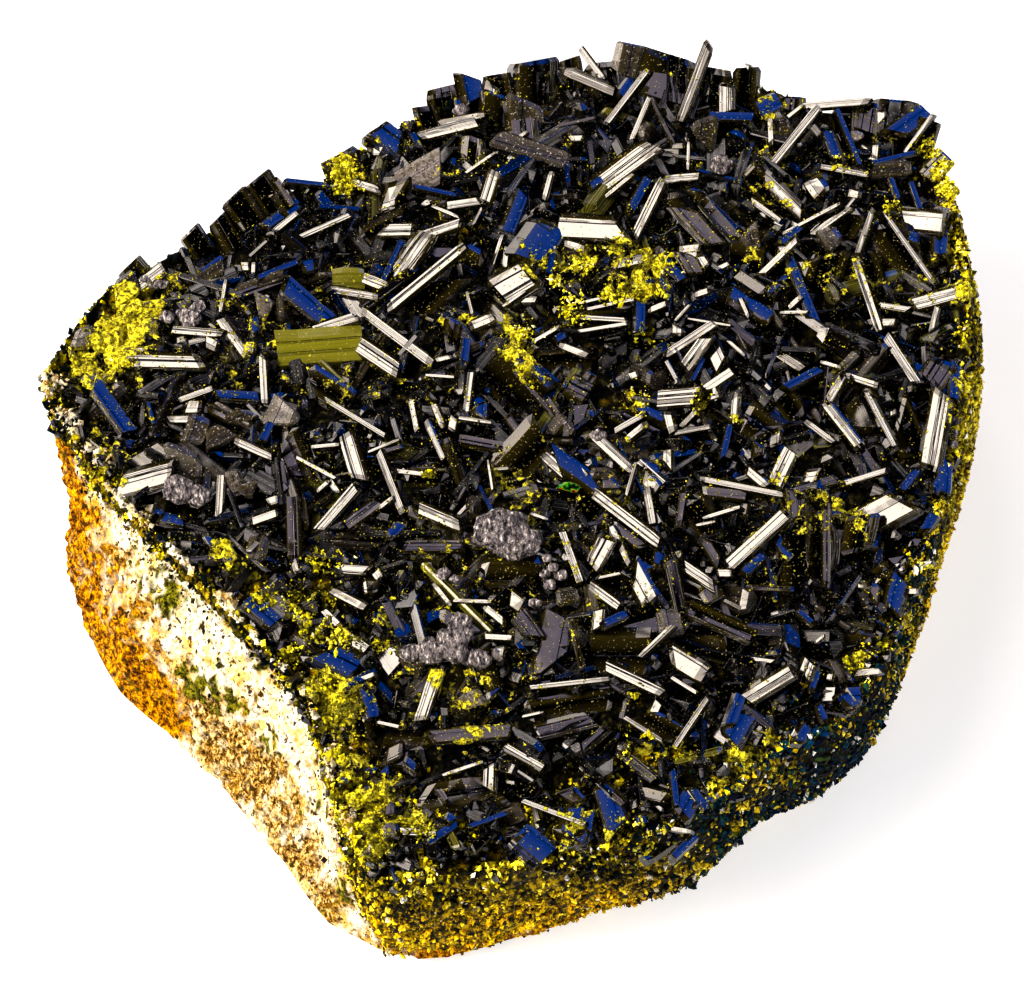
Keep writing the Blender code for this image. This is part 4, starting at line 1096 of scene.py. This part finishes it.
def sink_under(mat, big, share=0.92):
    """How far each lath of the mat must slide down its sight line to clear the big laths there."""
    start = big["middle"] - big["axis"] * big["half"][:, None] * share
    end = big["middle"] + big["axis"] * big["half"][:, None] * share
    first, run = seen(start), seen(end) - seen(start)
    sink = np.zeros(len(mat["half"]))
    for step in np.linspace(-1, 1, 9):
        spot = mat["middle"] + mat["axis"] * (mat["half"] * step)[:, None]
        plan = seen(spot)[:, None]
        along = np.clip(((plan - first) * run).sum(-1) / (run * run).sum(-1), 0, 1)
        gap = np.linalg.norm(plan - first - along[..., None] * run, axis=-1)
        level = start[:, 2] + along * (end - start)[:, 2]
        near = gap < 0.45 * big["width"] + 0.35 * mat["width"][:, None]
        over = np.where(near, spot[:, 2:] + 0.3 * mat["width"][:, None] - level + 0.15, 0)
        sink = np.maximum(sink, over.max(1))
    return sink


def make_mat(placed, look, dice):
    """Laths spread at random and slid under those placed before: four rings each, the outer two
    narrowed to make bevelled tips."""
    mat = spread_mat(MAT_COUNT, dice)
    sink = np.max([sink_under(mat, big) for big in placed], 0)
    mat["middle"] = mat["middle"] - SIGHT * (sink / SIGHT[2])[:, None]
    mat = {key: value[sink < DEEPEST] for key, value in mat.items()}
    count = len(mat["half"])
    tip = (np.minimum(0.5 * mat["width"] / mat["half"], 0.4) * dice.uniform(0.3, 1, count))[:, None]
    along = np.concatenate([-np.ones_like(tip), tip - 1, 1 - tip, np.ones_like(tip)], 1)
    narrow = np.ones((count, 4))
    narrow[:, ::3] = dice.uniform(0.35, 0.85, (count, 2))
    slant = np.repeat(dice.uniform(-0.5, 0.5, (count, 2)), 2, 1)
    section = np.broadcast_to(OCTAGON, (count, *OCTAGON.shape))
    points, faces, lie = carry(mat, section, along, narrow, slant)
    tone = np.repeat(dice.random(count), len(points) // count)
    fields = {"lie": lie, "tone": tone, "green": greened(points)}
    return add_mesh("jackstraw_laths", points, faces, look, fields), mat


mat_look = lath_look("jackstraw_lath", BLACK_GREEN, 0.07, 0.3)
placed = [broad_set, plain_set, olive_set, dull_set, slab_set, rim_set, chip_set]
jackstraw, mat_set = make_mat(placed, mat_look, dice)
fix_epidote(jackstraw)

# ---- Quartz lumps ---------------------------------------------------------------------------
# Knobs of grey granular quartz and a few round white grains, which grew on the crust and sit
# among the laths.

# x, y, width, height over the crust.
KNOBS = [
    (-1.6, -11.2, 4.6, 1.6), (0.4, -12.2, 4.4, 1.5), (-0.4, -10.4, 3.6, 1.3),
    (-10.4, -24.4, 2, 0.9), (-8.4, -24.2, 2.8, 1.1), (-6.1, -23.9, 3.4, 1.3),
    (-3.6, -24.9, 2.4, 0.9), (-5.3, -21.4, 2.4, 1.3), (-5.5, -22.7, 3, 1.4), (-34, 15.6, 2.2, 0.6),
    (-38.5, 21, 2, 0.5), (22.6, 34.8, 2.2, 0.9), (3.6, -13.9, 0.9, 1), (4.2, -15, 1.1, 1),
    (5, -15.8, 1.3, 1), (3.4, -15.7, 1, 1), (2.4, -18.8, 1.3, 0.8), (3.9, -16.8, 1.2, 0.8),
    (-7, -15.6, 1.4, 0.8), (-5.9, -16.2, 1, 0.8), (46.8, 4.6, 1.1, 0.4), (46.4, 3.1, 1, 0.4),
    (46.3, 1.8, 1, 0.4), (-34.6, -5.6, 3, 1.3), (-32.6, -6.2, 2.4, 1.1), (-36.5, 15.8, 1.5, 0.8),
    (-34.8, 16.2, 1.4, 0.8), (-33.2, 17, 1.5, 0.8), (-34.2, 14.8, 1.3, 0.7),
    (-37.6, 20.4, 1.5, 0.5), (-5.6, 42, 1.6, 0.8), (9, 0.7, 1.4, 0.8),
]
WIDE_KNOB = 1.8  # width over which a knob has the finer grid
FLATTENED = (1, 0.9, 0.62)  # a knob's size along x, y and z in widths


def quartz_look():
    """Grey-violet quartz with white grains, fairly glossy on its broken faces."""
    look, tree, shader, where = new_look("grey_quartz")
    where = mapped(tree, where, (1.3, 0.6, 1), (0, 0, 0.6))
    colour = ramp(tree, noise(tree, where, 2100, 3, 0.75), [
        (0.38, (0.015, 0.013, 0.013)), (0.47, (0.13, 0.115, 0.115)), (0.58, (0.34, 0.31, 0.3)),
        (0.66, (0.95, 0.9, 0.86)),
    ])
    hackled = bumped(tree, noise(tree, where, 1500, 4, 0.75), 0.6)
    surface(tree, shader, colour, 0.25, relief=hackled)
    return look


def knob(x, y, width, rise):
    """A ball on a grid of longitude and latitude, flattened, and hackled by grains and clouds."""
    columns, rows = (40, 26) if width > WIDE_KNOB else (20, 14)
    deg = np.linspace(0, 360, columns, endpoint=False)
    down = np.radians(180 - np.linspace(0, 180, rows))
    ball, faces = loft([at_polar(deg, np.sin(angle), np.cos(angle)) for angle in down])
    ball = ball * FLATTENED * width / 2
    middle = np.array([x, y, crust_top(*polar(x, y)) + rise])
    size = min(1.3, width / 2.2)
    points = ball + middle
    swell = lumps(points, (0.45, size, 41), (0.25, size / 2, 44)) - 0.25
    swell = swell + 0.22 * cloud(points, width / 2.4, 47)
    return middle + ball * (1 + swell[:, None]), faces


def make_knobs():
    """All knobs as one mesh."""
    points, faces, start = [], [[], [], []], 0
    for row in KNOBS:
        some_points, some_faces = knob(*row)
        points.append(some_points)
        for kind, some in zip(faces, some_faces):
            kind.append(some + start)
        start += len(some_points)
    faces = [np.concatenate(kind) for kind in faces]
    return add_mesh("quartz_knobs", np.concatenate(points), faces, quartz_look())


knobs = make_knobs()
fix_epidote(knobs)

# ---- Pistachio grains -----------------------------------------------------------------------
# Crumbs of yellow-green epidote, a fraction of a millimetre across, that cake the laths in patches
# and dust the rest thinly. They are grown on to what they lie on.

CELL = 0.4  # size of the squares in which the height of what is seen is kept
REACH = 62.0  # half the side of that map
CELLS = int(2 * REACH / CELL)
CAKED = 150  # crumbs in a patch of radius one millimetre
DUST_COUNT = 30000
LOWEST_CRUMB = 8  # what is seen lower than this isn't the top of the piece
OCTAHEDRON = np.array([(1, 0, 0), (-1, 0, 0), (0, 1, 0), (0, -1, 0), (0, 0, 1), (0, 0, -1)])
OCTAHEDRON_FACES = np.array([
    (0, 2, 4), (2, 1, 4), (1, 3, 4), (3, 0, 4), (2, 0, 5), (1, 2, 5), (3, 1, 5), (0, 3, 5),
])


def cell_of(plan):
    """The square of the map that holds each plan place."""
    return tuple(np.clip(((plan + REACH) / CELL).astype(int), 0, CELLS - 1).T)


def height_map():
    """The highest point on each sight line, from points spread over the laths and the crust."""
    corners = np.empty(3 * len(crust.data.vertices), np.float32)
    crust.data.vertices.foreach_get("co", corners)
    spread = [corners.reshape(-1, 3) / MM]
    for laths in (*placed, mat_set):
        across = np.cross(laths["face"], laths["axis"])
        for along in np.linspace(-0.95, 0.95, 27):
            for aside in (-0.4, 0, 0.4):
                step = laths["axis"] * (laths["half"] * along)[:, None]
                side = across * (laths["width"] * aside)[:, None]
                spread.append(laths["middle"] + step + side)
    heights = np.full((CELLS, CELLS), -1.0)
    for points in spread:
        np.maximum.at(heights, cell_of(seen(points)), points[:, 2])
    return heights


def random_turns(count, dice):
    """Rotation matrices from random unit quaternions."""
    w, x, y, z = unit(dice.normal(size=(count, 4))).T
    return np.array([
        [1 - 2 * (y * y + z * z), 2 * (x * y - z * w), 2 * (x * z + y * w)],
        [2 * (x * y + z * w), 1 - 2 * (x * x + z * z), 2 * (y * z - x * w)],
        [2 * (x * z - y * w), 2 * (y * z + x * w), 1 - 2 * (x * x + y * y)],
    ]).transpose(2, 0, 1)


def crumbs(places, sizes, dice, tall=1.0):
    """Points and faces of eight-sided crumbs, each stretched, turned and made uneven at random, and
    none below the base."""
    count = len(places)
    shape = OCTAHEDRON * dice.uniform(0.7, 1.3, (count, 6, 1))
    shape = shape * dice.uniform((0.5, 0.6, 0.8), (0.9, 1.0, 1.4), (count, 3))[:, None]
    shape = np.einsum("nij,nkj->nki", random_turns(count, dice), shape)
    points = places[:, None] + shape * (1, 1, tall) * sizes[:, None, None] / 2
    points[:, :, 2] = np.maximum(points[:, :, 2], 0)
    faces = OCTAHEDRON_FACES + 6 * np.arange(count)[:, None, None]
    return points.reshape(-1, 3), [faces.reshape(-1, 3)]


def at_corners(values):
    """A value of each crumb, given to all its corners."""
    return np.repeat(values, len(OCTAHEDRON))


def pistachio_look():
    """Yellow-green crumbs, from olive to lemon, with a soft gloss."""
    look, tree, shader, where = new_look("pistachio_epidote")
    colour = ramp(tree, field(tree, "tone"), [
        (0.0, (0.015, 0.013, 0.0005)), (0.2, (0.12, 0.1, 0.002)), (0.42, (0.55, 0.49, 0.004)),
        (0.65, (1.0, 0.93, 0.008)), (0.88, (1.0, 0.98, 0.1)), (1.0, (1.0, 0.98, 0.7)),
    ])
    uneven = ramp(tree, noise(tree, where, 2500, 3, 0.6), [
        (0.35, (0.1, 0.09, 0.0)), (0.6, (1.0, 1.0, 0.05)),
    ])
    surface(tree, shader, mixed(tree, 0.2, colour, uneven), 0.5, 0.3)
    return look


def crumb_plan(dice):
    """Plan places, spread about each patch's middle by its radius, and dust over the top where
    clouds are thick; and for each place 1 if it lies in a patch, 0 if it is dust."""
    table = table_seen(PISTACHIO)
    which = np.repeat(np.arange(len(table)), np.rint(CAKED * table[:, 2] ** 2).astype(int))
    plan = table[which, :2] + dice.normal(0, 0.6, (len(which), 2)) * table[which, 2:]
    dust = dice.uniform(-50, 50, (DUST_COUNT, 2))
    thick = clouds(np.c_[dust, 0 * dust[:, 0]], (1, 5, 61), (0.8, 1.5, 62))
    dust = dust[(thick > 0.25) & (polar(*dust.T)[1] < 1.0)]
    return np.concatenate([plan, dust]), np.r_[np.ones(len(plan)), np.zeros(len(dust))]


def crumb_places(dice):
    """The plan places carried along their sight lines to what is seen there. In the patches, those
    in ragged clouds are kept: more of them on the top and at the front left than elsewhere."""
    plan, cake = crumb_plan(dice)
    height = height_map()[cell_of(plan)]
    found = height > LOWEST_CRUMB
    plan, height, cake = plan[found], height[found], cake[found]
    height = height + dice.uniform(-0.1, 0.3, len(height)) * cake
    share = (LENS[2] - height) / (LENS[2] - SEEN_LEVEL)
    places = np.c_[LENS[:2] + (plan - LENS[:2]) * share[:, None], height]
    ragged = clouds(places, (1, 1.4, 63), (0.7, 0.6, 64))
    inner = (places[:, 1] > -10) & (places[:, 0] > -30)
    fringe = (places[:, 1] < -12) & (places[:, 0] < -8)
    bar = np.where(inner, -0.35, np.where(fringe, -0.25, 0.15)) + 0.22 * (places[:, 0] < -35)
    keep = (ragged > bar) | (cake < 0.5)
    return places[keep], cake[keep], fringe[keep]


def make_pistachio(dice):
    """Crumbs in the patches and smaller, darker dust between them. Their tone follows clouds and
    chance, and is darker at the left and towards the front."""
    places, cake, fringe = crumb_places(dice)
    count = len(cake)
    caked, dusty = dice.lognormal(-1.25, 0.4, count), dice.uniform(0.08, 0.26, count)
    points, faces = crumbs(places, np.where(cake > 0, caked, dusty), dice)
    tone = 0.5 - 0.15 * np.clip((-12 - places[:, 1]) / 8, 0, 1) + 0.45 * cloud(places, 2, 65)
    tone = tone - 0.16 * (places[:, 0] < -30) - 0.1 * fringe
    tone = np.clip(tone + dice.normal(0, 0.28, count), 0, 1)
    fields = {"tone": at_corners(np.where(cake > 0, tone, 0.65 * tone))}
    return add_mesh("pistachio_crumbs", points, faces, pistachio_look(), fields)


pistachio = make_pistachio(dice)
fix_epidote(pistachio)

# ---- Wall grains ----------------------------------------------------------------------------
# Short stubby epidote crystals, about a millimetre long, grown on the crust's side walls, with
# crumbs between. They are black-green near the top and weathered to olive and ochre at the foot.

WALL_COUNT = 9000
WALL_CRUMBS = 19000
CREST_CRUMBS = 7000
CRESTED = (160, 405)  # degrees between which crumbs climb over the crest
SLOPE_CRUMBS = 8000
SLOPED = (248, 322)  # degrees between which they climb further, up the slope at the front
FULL_WALL = 24  # height of wall that has the full number of grains
LOW_FOOT = 4  # where the crust begins lower than this, the grains go down to the base
# The white grains are painted glints.
PAINTED_GLINT_SHARE = 0.045  # share of the grains that are white
# Weathering round the wall: angle, tone from black to yellow.
WEATHER = np.array([
    (0, 0.7), (12, 0.76), (30, 0.78), (40, 0.72), (52, 0.42), (100, 0.36), (150, 0.4), (165, 0.52),
    (180, 0.42), (225, 0.42), (242, 0.56), (256, 0.7), (276, 0.68), (288, 0.56), (302, 0.4),
    (335, 0.42), (350, 0.68),
])


def wall_look():
    """Black-green to yellow by each crystal's tone, more golden towards the foot, dark teal where it
    is painted as the sky panel's blue reflection, and white at the top tone as painted glints."""
    look, tree, shader, where = new_look("epidote_wall")
    # In each ramp the top tones, near white, are painted glints; the olive ramp's blackest tones
    # also carry a faint painted blue of the sky panel.
    olive = ramp(tree, field(tree, "tone"), [
        (0.0, (0.0005, 0.006, 0.014)), (0.32, (0.002, 0.006, 0.006)), (0.44, (0.07, 0.068, 0.002)),
        (0.56, (0.24, 0.21, 0.002)), (0.7, (0.6, 0.5, 0.002)), (0.84, (0.95, 0.8, 0.008)),
        (0.96, (1.0, 0.92, 0.1)), (0.98, (1.0, 1.0, 0.9)),
    ])
    # Painted blue reflection of the sky panel, dark teal in the low tones.
    painted_sky_tint = ramp(tree, field(tree, "tone"), [
        (0.0, (0.0005, 0.004, 0.02)), (0.2, (0.001, 0.03, 0.09)), (0.36, (0.002, 0.06, 0.1)),
        (0.5, (0.02, 0.07, 0.03)), (0.58, (0.18, 0.19, 0.008)), (0.68, (0.75, 0.55, 0.006)),
        (0.96, (1.0, 0.85, 0.1)), (0.98, (1.0, 1.0, 0.9)),
    ])
    gold = ramp(tree, field(tree, "tone"), [
        (0.0, (0.002, 0.0008, 0.0)), (0.3, (0.02, 0.01, 0.0003)), (0.44, (0.15, 0.09, 0.0005)),
        (0.6, (0.55, 0.32, 0.0005)), (0.76, (0.95, 0.6, 0.001)), (0.96, (1.0, 0.78, 0.02)),
        (0.98, (1.0, 0.9, 0.5)),
    ])
    height = add_node(tree, "SeparateXYZ", {0: where}).outputs["Z"]
    low = ranged(tree, height, 18 * MM, 9 * MM)
    colour = mixed(tree, field(tree, "painted_sky_tint"), mixed(tree, low, olive, gold), painted_sky_tint)
    patchy = ramp(tree, noise(tree, where, 900, 4, 0.75), [
        (0.4, (0.12, 0.12, 0.12)), (0.6, (1.5, 1.5, 1.5)),
    ])
    colour = mixed(tree, 1.0, colour, patchy, "MULTIPLY")
    uneven = bumped(tree, noise(tree, where, 2400, 3, 0.6), 0.12, 0.7)
    surface(tree, shader, colour, 0.5, 0.04, uneven)
    shader.inputs["IOR"].default_value = 1.5
    return look


def wall_places(count, dice):
    """Places at random over the wall above the crust's foot, evenly thick all round: angle, height
    of the wall there, and point."""
    ring = np.linspace(0, 360, 721)
    edge = np.hypot(*np.diff(at_polar(ring, around(ring, CREST), 0)[:, :2], axis=0).T)
    walk = np.r_[0, np.cumsum(edge)] / edge.sum()
    deg = np.interp(dice.random(count), walk, ring)
    foot, top = around(deg, FOOT), around(deg, TOP)
    keep = dice.random(count) < np.maximum((top - foot) / FULL_WALL, 0.12)
    deg, foot, top = deg[keep], foot[keep], top[keep]
    foot = np.where(foot < LOW_FOOT, 0.5, foot)
    height = foot + (top - foot) * dice.random(len(deg))
    return deg, top - foot, wall(deg, height)


def weathered(deg, places, dice):
    """Tone of each grain: by the angle, clouds of two sizes, and a chance; a few get the top tone,
    painted white as glints.
    """
    bright = np.interp(deg % 360, *WEATHER.T, period=360)
    bright = bright + 0.9 * (bright - 0.4) * np.clip((16 - places[:, 2]) / 12, 0, 1)
    bright = bright + 0.3 * cloud(places, 5, 71) + 0.28 * cloud(places, 1.6, 72)
    tone = np.clip(bright + dice.normal(0, 0.24, len(deg)), 0, 0.95)
    return np.where(dice.random(len(deg)) < PAINTED_GLINT_SHARE, 1, tone)


def make_wall_grains(look, dice):
    """Stubby crystals whose axes spread about the way out of the wall, smaller where the wall is
    low or weathered."""
    deg, rise, places = wall_places(WALL_COUNT, dice)
    out = unit(places * (1, 1, 0))
    axis = unit(out + dice.normal(0, 0.75, out.shape))
    face = unit(np.cross(axis, dice.normal(size=axis.shape)))
    size = np.clip(dice.lognormal(-0.5, 0.4, len(deg)), 0.35, 1.5)
    size = np.where(rise < 4, 0.5 * size, size)
    yellow = np.interp(deg % 360, *WEATHER.T, period=360) > 0.55
    size = np.where(yellow, 0.7 * size, size)
    grains = {
        "middle": places - 0.2 * out, "axis": axis, "face": face, "half": 0.65 * size,
        "width": 0.6 * size, "depth": 0.5 * size,
    }
    count = len(deg)
    along = np.broadcast_to([-1.0, 1.0], (count, 2))
    narrow = np.stack([np.ones(count), dice.uniform(0.5, 0.95, count)], 1)
    slant = dice.uniform(-0.6, 0.6, (count, 2))
    section = np.broadcast_to(HEXAGON, (count, *HEXAGON.shape))
    points, faces, _ = carry(grains, section, along, narrow, slant)
    points[:, 2] = np.maximum(points[:, 2], 0)
    each = len(points) // count
    tone = np.repeat(weathered(deg, places, dice), each)
    fields = {"tone": tone, "painted_sky_tint": np.repeat(painted_sky_share(deg), each)}
    return add_mesh("wall_grains", points, faces, look, fields)


def crest_places(dice):
    """Places a little inside the crest, and further inside it at the front, on the crust."""
    deg = dice.uniform(*CRESTED, CREST_CRUMBS)
    share = 1 - np.abs(dice.normal(0, 0.03, CREST_CRUMBS))
    deg = np.r_[deg, dice.uniform(*SLOPED, SLOPE_CRUMBS)]
    share = np.r_[share, 1 - np.abs(dice.normal(0, 0.07, SLOPE_CRUMBS))]
    level = crust_level(deg, share) + dice.uniform(-0.2, 0.6, len(deg))
    places = at_polar(deg, around(deg, CREST) * share, level)
    thick = cloud(places, 3, 73) > -0.2
    return deg[thick], places[thick]


def make_wall_crumbs(look, dice):
    """Crumbs half a millimetre across that fill the gaps between the stubby crystals, and climb
    over the crest at the front."""
    deg, _, places = wall_places(WALL_CRUMBS, dice)
    places = places + unit(places * (1, 1, 0)) * dice.uniform(-0.1, 0.4, (len(deg), 1))
    over, ring = crest_places(dice)
    deg, places = np.r_[deg, over], np.concatenate([places, ring])
    sizes = np.clip(dice.lognormal(-0.75, 0.4, len(deg)), 0.2, 1.2)
    points, faces = crumbs(places, sizes, dice, 1.5)
    tone = weathered(deg, places, dice)
    fields = {"tone": at_corners(tone), "painted_sky_tint": at_corners(painted_sky_share(deg))}
    return add_mesh("wall_crumbs", points, faces, look, fields)


grain_look = wall_look()
wall_grains = make_wall_grains(grain_look, dice)
fix_epidote(wall_grains)
wall_crumbs = make_wall_crumbs(grain_look, dice)
fix_epidote(wall_crumbs)

# ---- Rock crumbs ----------------------------------------------------------------------------
# Crumbs of the rock in ragged clumps that climb from the raw face on to the crust and stick to it.

ROCK_CRUMBS = 5000
CRUMBED = (168, 252)  # degrees between which they lie


def make_rock_crumbs(dice):
    """Crumbs along the crest over the raw face, kept where clouds are thick."""
    deg = dice.uniform(*CRUMBED, ROCK_CRUMBS)
    share = 1.005 - np.abs(dice.normal(0, 0.035, ROCK_CRUMBS))
    level = crust_level(deg, share, 0.7) + dice.uniform(0, 0.7, ROCK_CRUMBS)
    places = at_polar(deg, around(deg, CREST) * share, level)
    clumps = clouds(places, (1, 2.4, 91), (0.7, 0.9, 92)) + 4 * (share - 0.98)
    places = places[clumps > 0.25]
    points, faces = crumbs(places, dice.lognormal(-0.9, 0.5, len(places)), dice)
    return add_mesh("rock_crumbs", points, faces, rock.data.materials[0])


rock_crumbs = make_rock_crumbs(dice)
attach(rock_crumbs, "root")
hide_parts("matrix_rock")

# ---- Specks on the rock ---------------------------------------------------------------------
# Crumbs of dark epidote and hornblende, set in the rock and scattered over its raw face, thickest
# under the crust.

SPECKS = 750
MOST_DROP = 26  # the furthest that a speck lies under the crust's edge


def make_specks(dice):
    """Crumbs on the bare wall; their number falls off downward from the crust's edge."""
    deg = dice.uniform(*RAW_FACE, SPECKS)
    drop = np.minimum(dice.exponential(3, SPECKS), dice.uniform(0, MOST_DROP, SPECKS))
    height = np.maximum(around(deg, FOOT) + 0.6 - drop, 0.6)
    places = wall(deg, np.minimum(height, around(deg, TOP)))
    points, faces = crumbs(places, dice.lognormal(-1.4, 0.45, SPECKS), dice, 2)
    fields = {"tone": at_corners(np.clip(dice.normal(0.4, 0.2, SPECKS), 0, 1))}
    return add_mesh("rock_specks", points, faces, grain_look, fields)


specks = make_specks(dice)
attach(specks, "root")
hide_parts("matrix_rock")

# ---- Floor, lamps and camera ----------------------------------------------------------------
# A pale floor that glows a little, as paper lit from below. A round warm lamp stands high on the
# left, a blue panel behind on the right, and a dim violet one overhead.

AIM = np.array([0, 0, 18.0])  # what the lamps and the camera face
FLOOR_HALF, FLOOR_Z = 3000.0, -0.1
CARD = (0.82, 0.92)  # cosines of the angles at which a black card ends and is fully black
FOCAL_LENGTH = 165.2


def make_floor():
    """A square with clouds of grey so faint that they hardly show."""
    look, tree, shader, where = new_look("pale_floor")
    shade = ramp(tree, noise(tree, where, 3, 2, 0.5), [
        (0.3, (0.44, 0.44, 0.44)), (0.7, (0.48, 0.48, 0.48)),
    ])
    surface(tree, shader, shade, 0.9)
    shader.inputs["Emission Color"].default_value = (1, 1, 1, 1)
    shader.inputs["Emission Strength"].default_value = 0.75
    corners = np.array([(-1, -1), (1, -1), (1, 1), (-1, 1)]) * FLOOR_HALF
    points = np.c_[corners, np.full(4, FLOOR_Z)]
    return add_mesh("floor", points, [np.array([(0, 1, 2, 3)])], look)


def aimed(place):
    """The matrix of a lamp or camera at a place, level across and facing AIM."""
    back = unit(place - AIM)
    side = unit(np.cross((0, 0, 1.0), back))
    rows = np.eye(4)
    rows[:3] = np.stack([side, np.cross(back, side), back, place * MM], 1)
    return Matrix(rows.tolist())


def add_lamp(name, place, spread, radiance, colour):
    """A round panel of a half angle in degrees as seen from AIM: its power gives that radiance
    over its disc."""
    radius = np.linalg.norm(place - AIM) * MM * np.tan(np.radians(spread))
    light = bpy.data.lights.new(name, "AREA")
    light.shape = "DISK"
    light.size = 2 * radius
    light.energy = radiance * np.pi * np.pi * radius ** 2
    light.color = colour
    made = bpy.data.objects.new(name, light)
    made.matrix_world = aimed(place)
    bpy.context.scene.collection.objects.link(made)
    return made


def make_room():
    """Soft pale patches on a dark surround, which the dark facets mirror as greys, and a black
    card round the lens and behind the blue panel."""
    world = bpy.data.worlds.new("studio")
    world.use_nodes = True
    tree = world.node_tree
    way = add_node(tree, "TexCoord").outputs["Generated"]
    pale = ramp(tree, noise(tree, way, 2.2, 2, 0.5), [
        (0.54, (0.0003, 0.0003, 0.0005)), (0.58, (0.3, 0.265, 0.28)), (0.63, (1.0, 0.92, 0.88)),
    ])
    for middle in (LENS, SKY):
        card = add_node(tree, "VectorMath", {0: way, 1: unit(middle)}, operation="DOT_PRODUCT")
        bare = ranged(tree, card.outputs["Value"], CARD[1], CARD[0])
        pale = mixed(tree, bare, (0, 0, 0, 1), pale)
    tree.links.new(pale, tree.nodes["Background"].inputs["Color"])
    tree.nodes["Background"].inputs["Strength"].default_value = 4.8
    return world


make_floor()
add_lamp("lamp_core", LAMP, 9, 8.0, (1.0, 0.92, 0.82))
add_lamp("lamp_skirt", LAMP * 1.01, 20, 7.0, (1.0, 0.88, 0.78))
add_lamp("lamp_fill", LAMP * 1.02, 9, 28.0, (1.0, 0.94, 0.86)).visible_glossy = False
add_lamp("sky", SKY, 20, 3.4, (0.0, 0.19, 1.0)).visible_diffuse = False
add_lamp("ceiling", CEILING, 10, 2.5, (0.92, 0.8, 1.0))

bpy.context.scene.world = make_room()
bpy.context.scene.view_settings.view_transform = "Standard"
bpy.context.scene.view_settings.gamma = 0.78

camera = bpy.data.cameras.new("camera")
camera.lens = FOCAL_LENGTH
camera.sensor_width = 36
camera_object = bpy.data.objects.new("camera", camera)
camera_object.matrix_world = aimed(LENS)
bpy.context.scene.collection.objects.link(camera_object)
bpy.context.scene.camera = camera_object
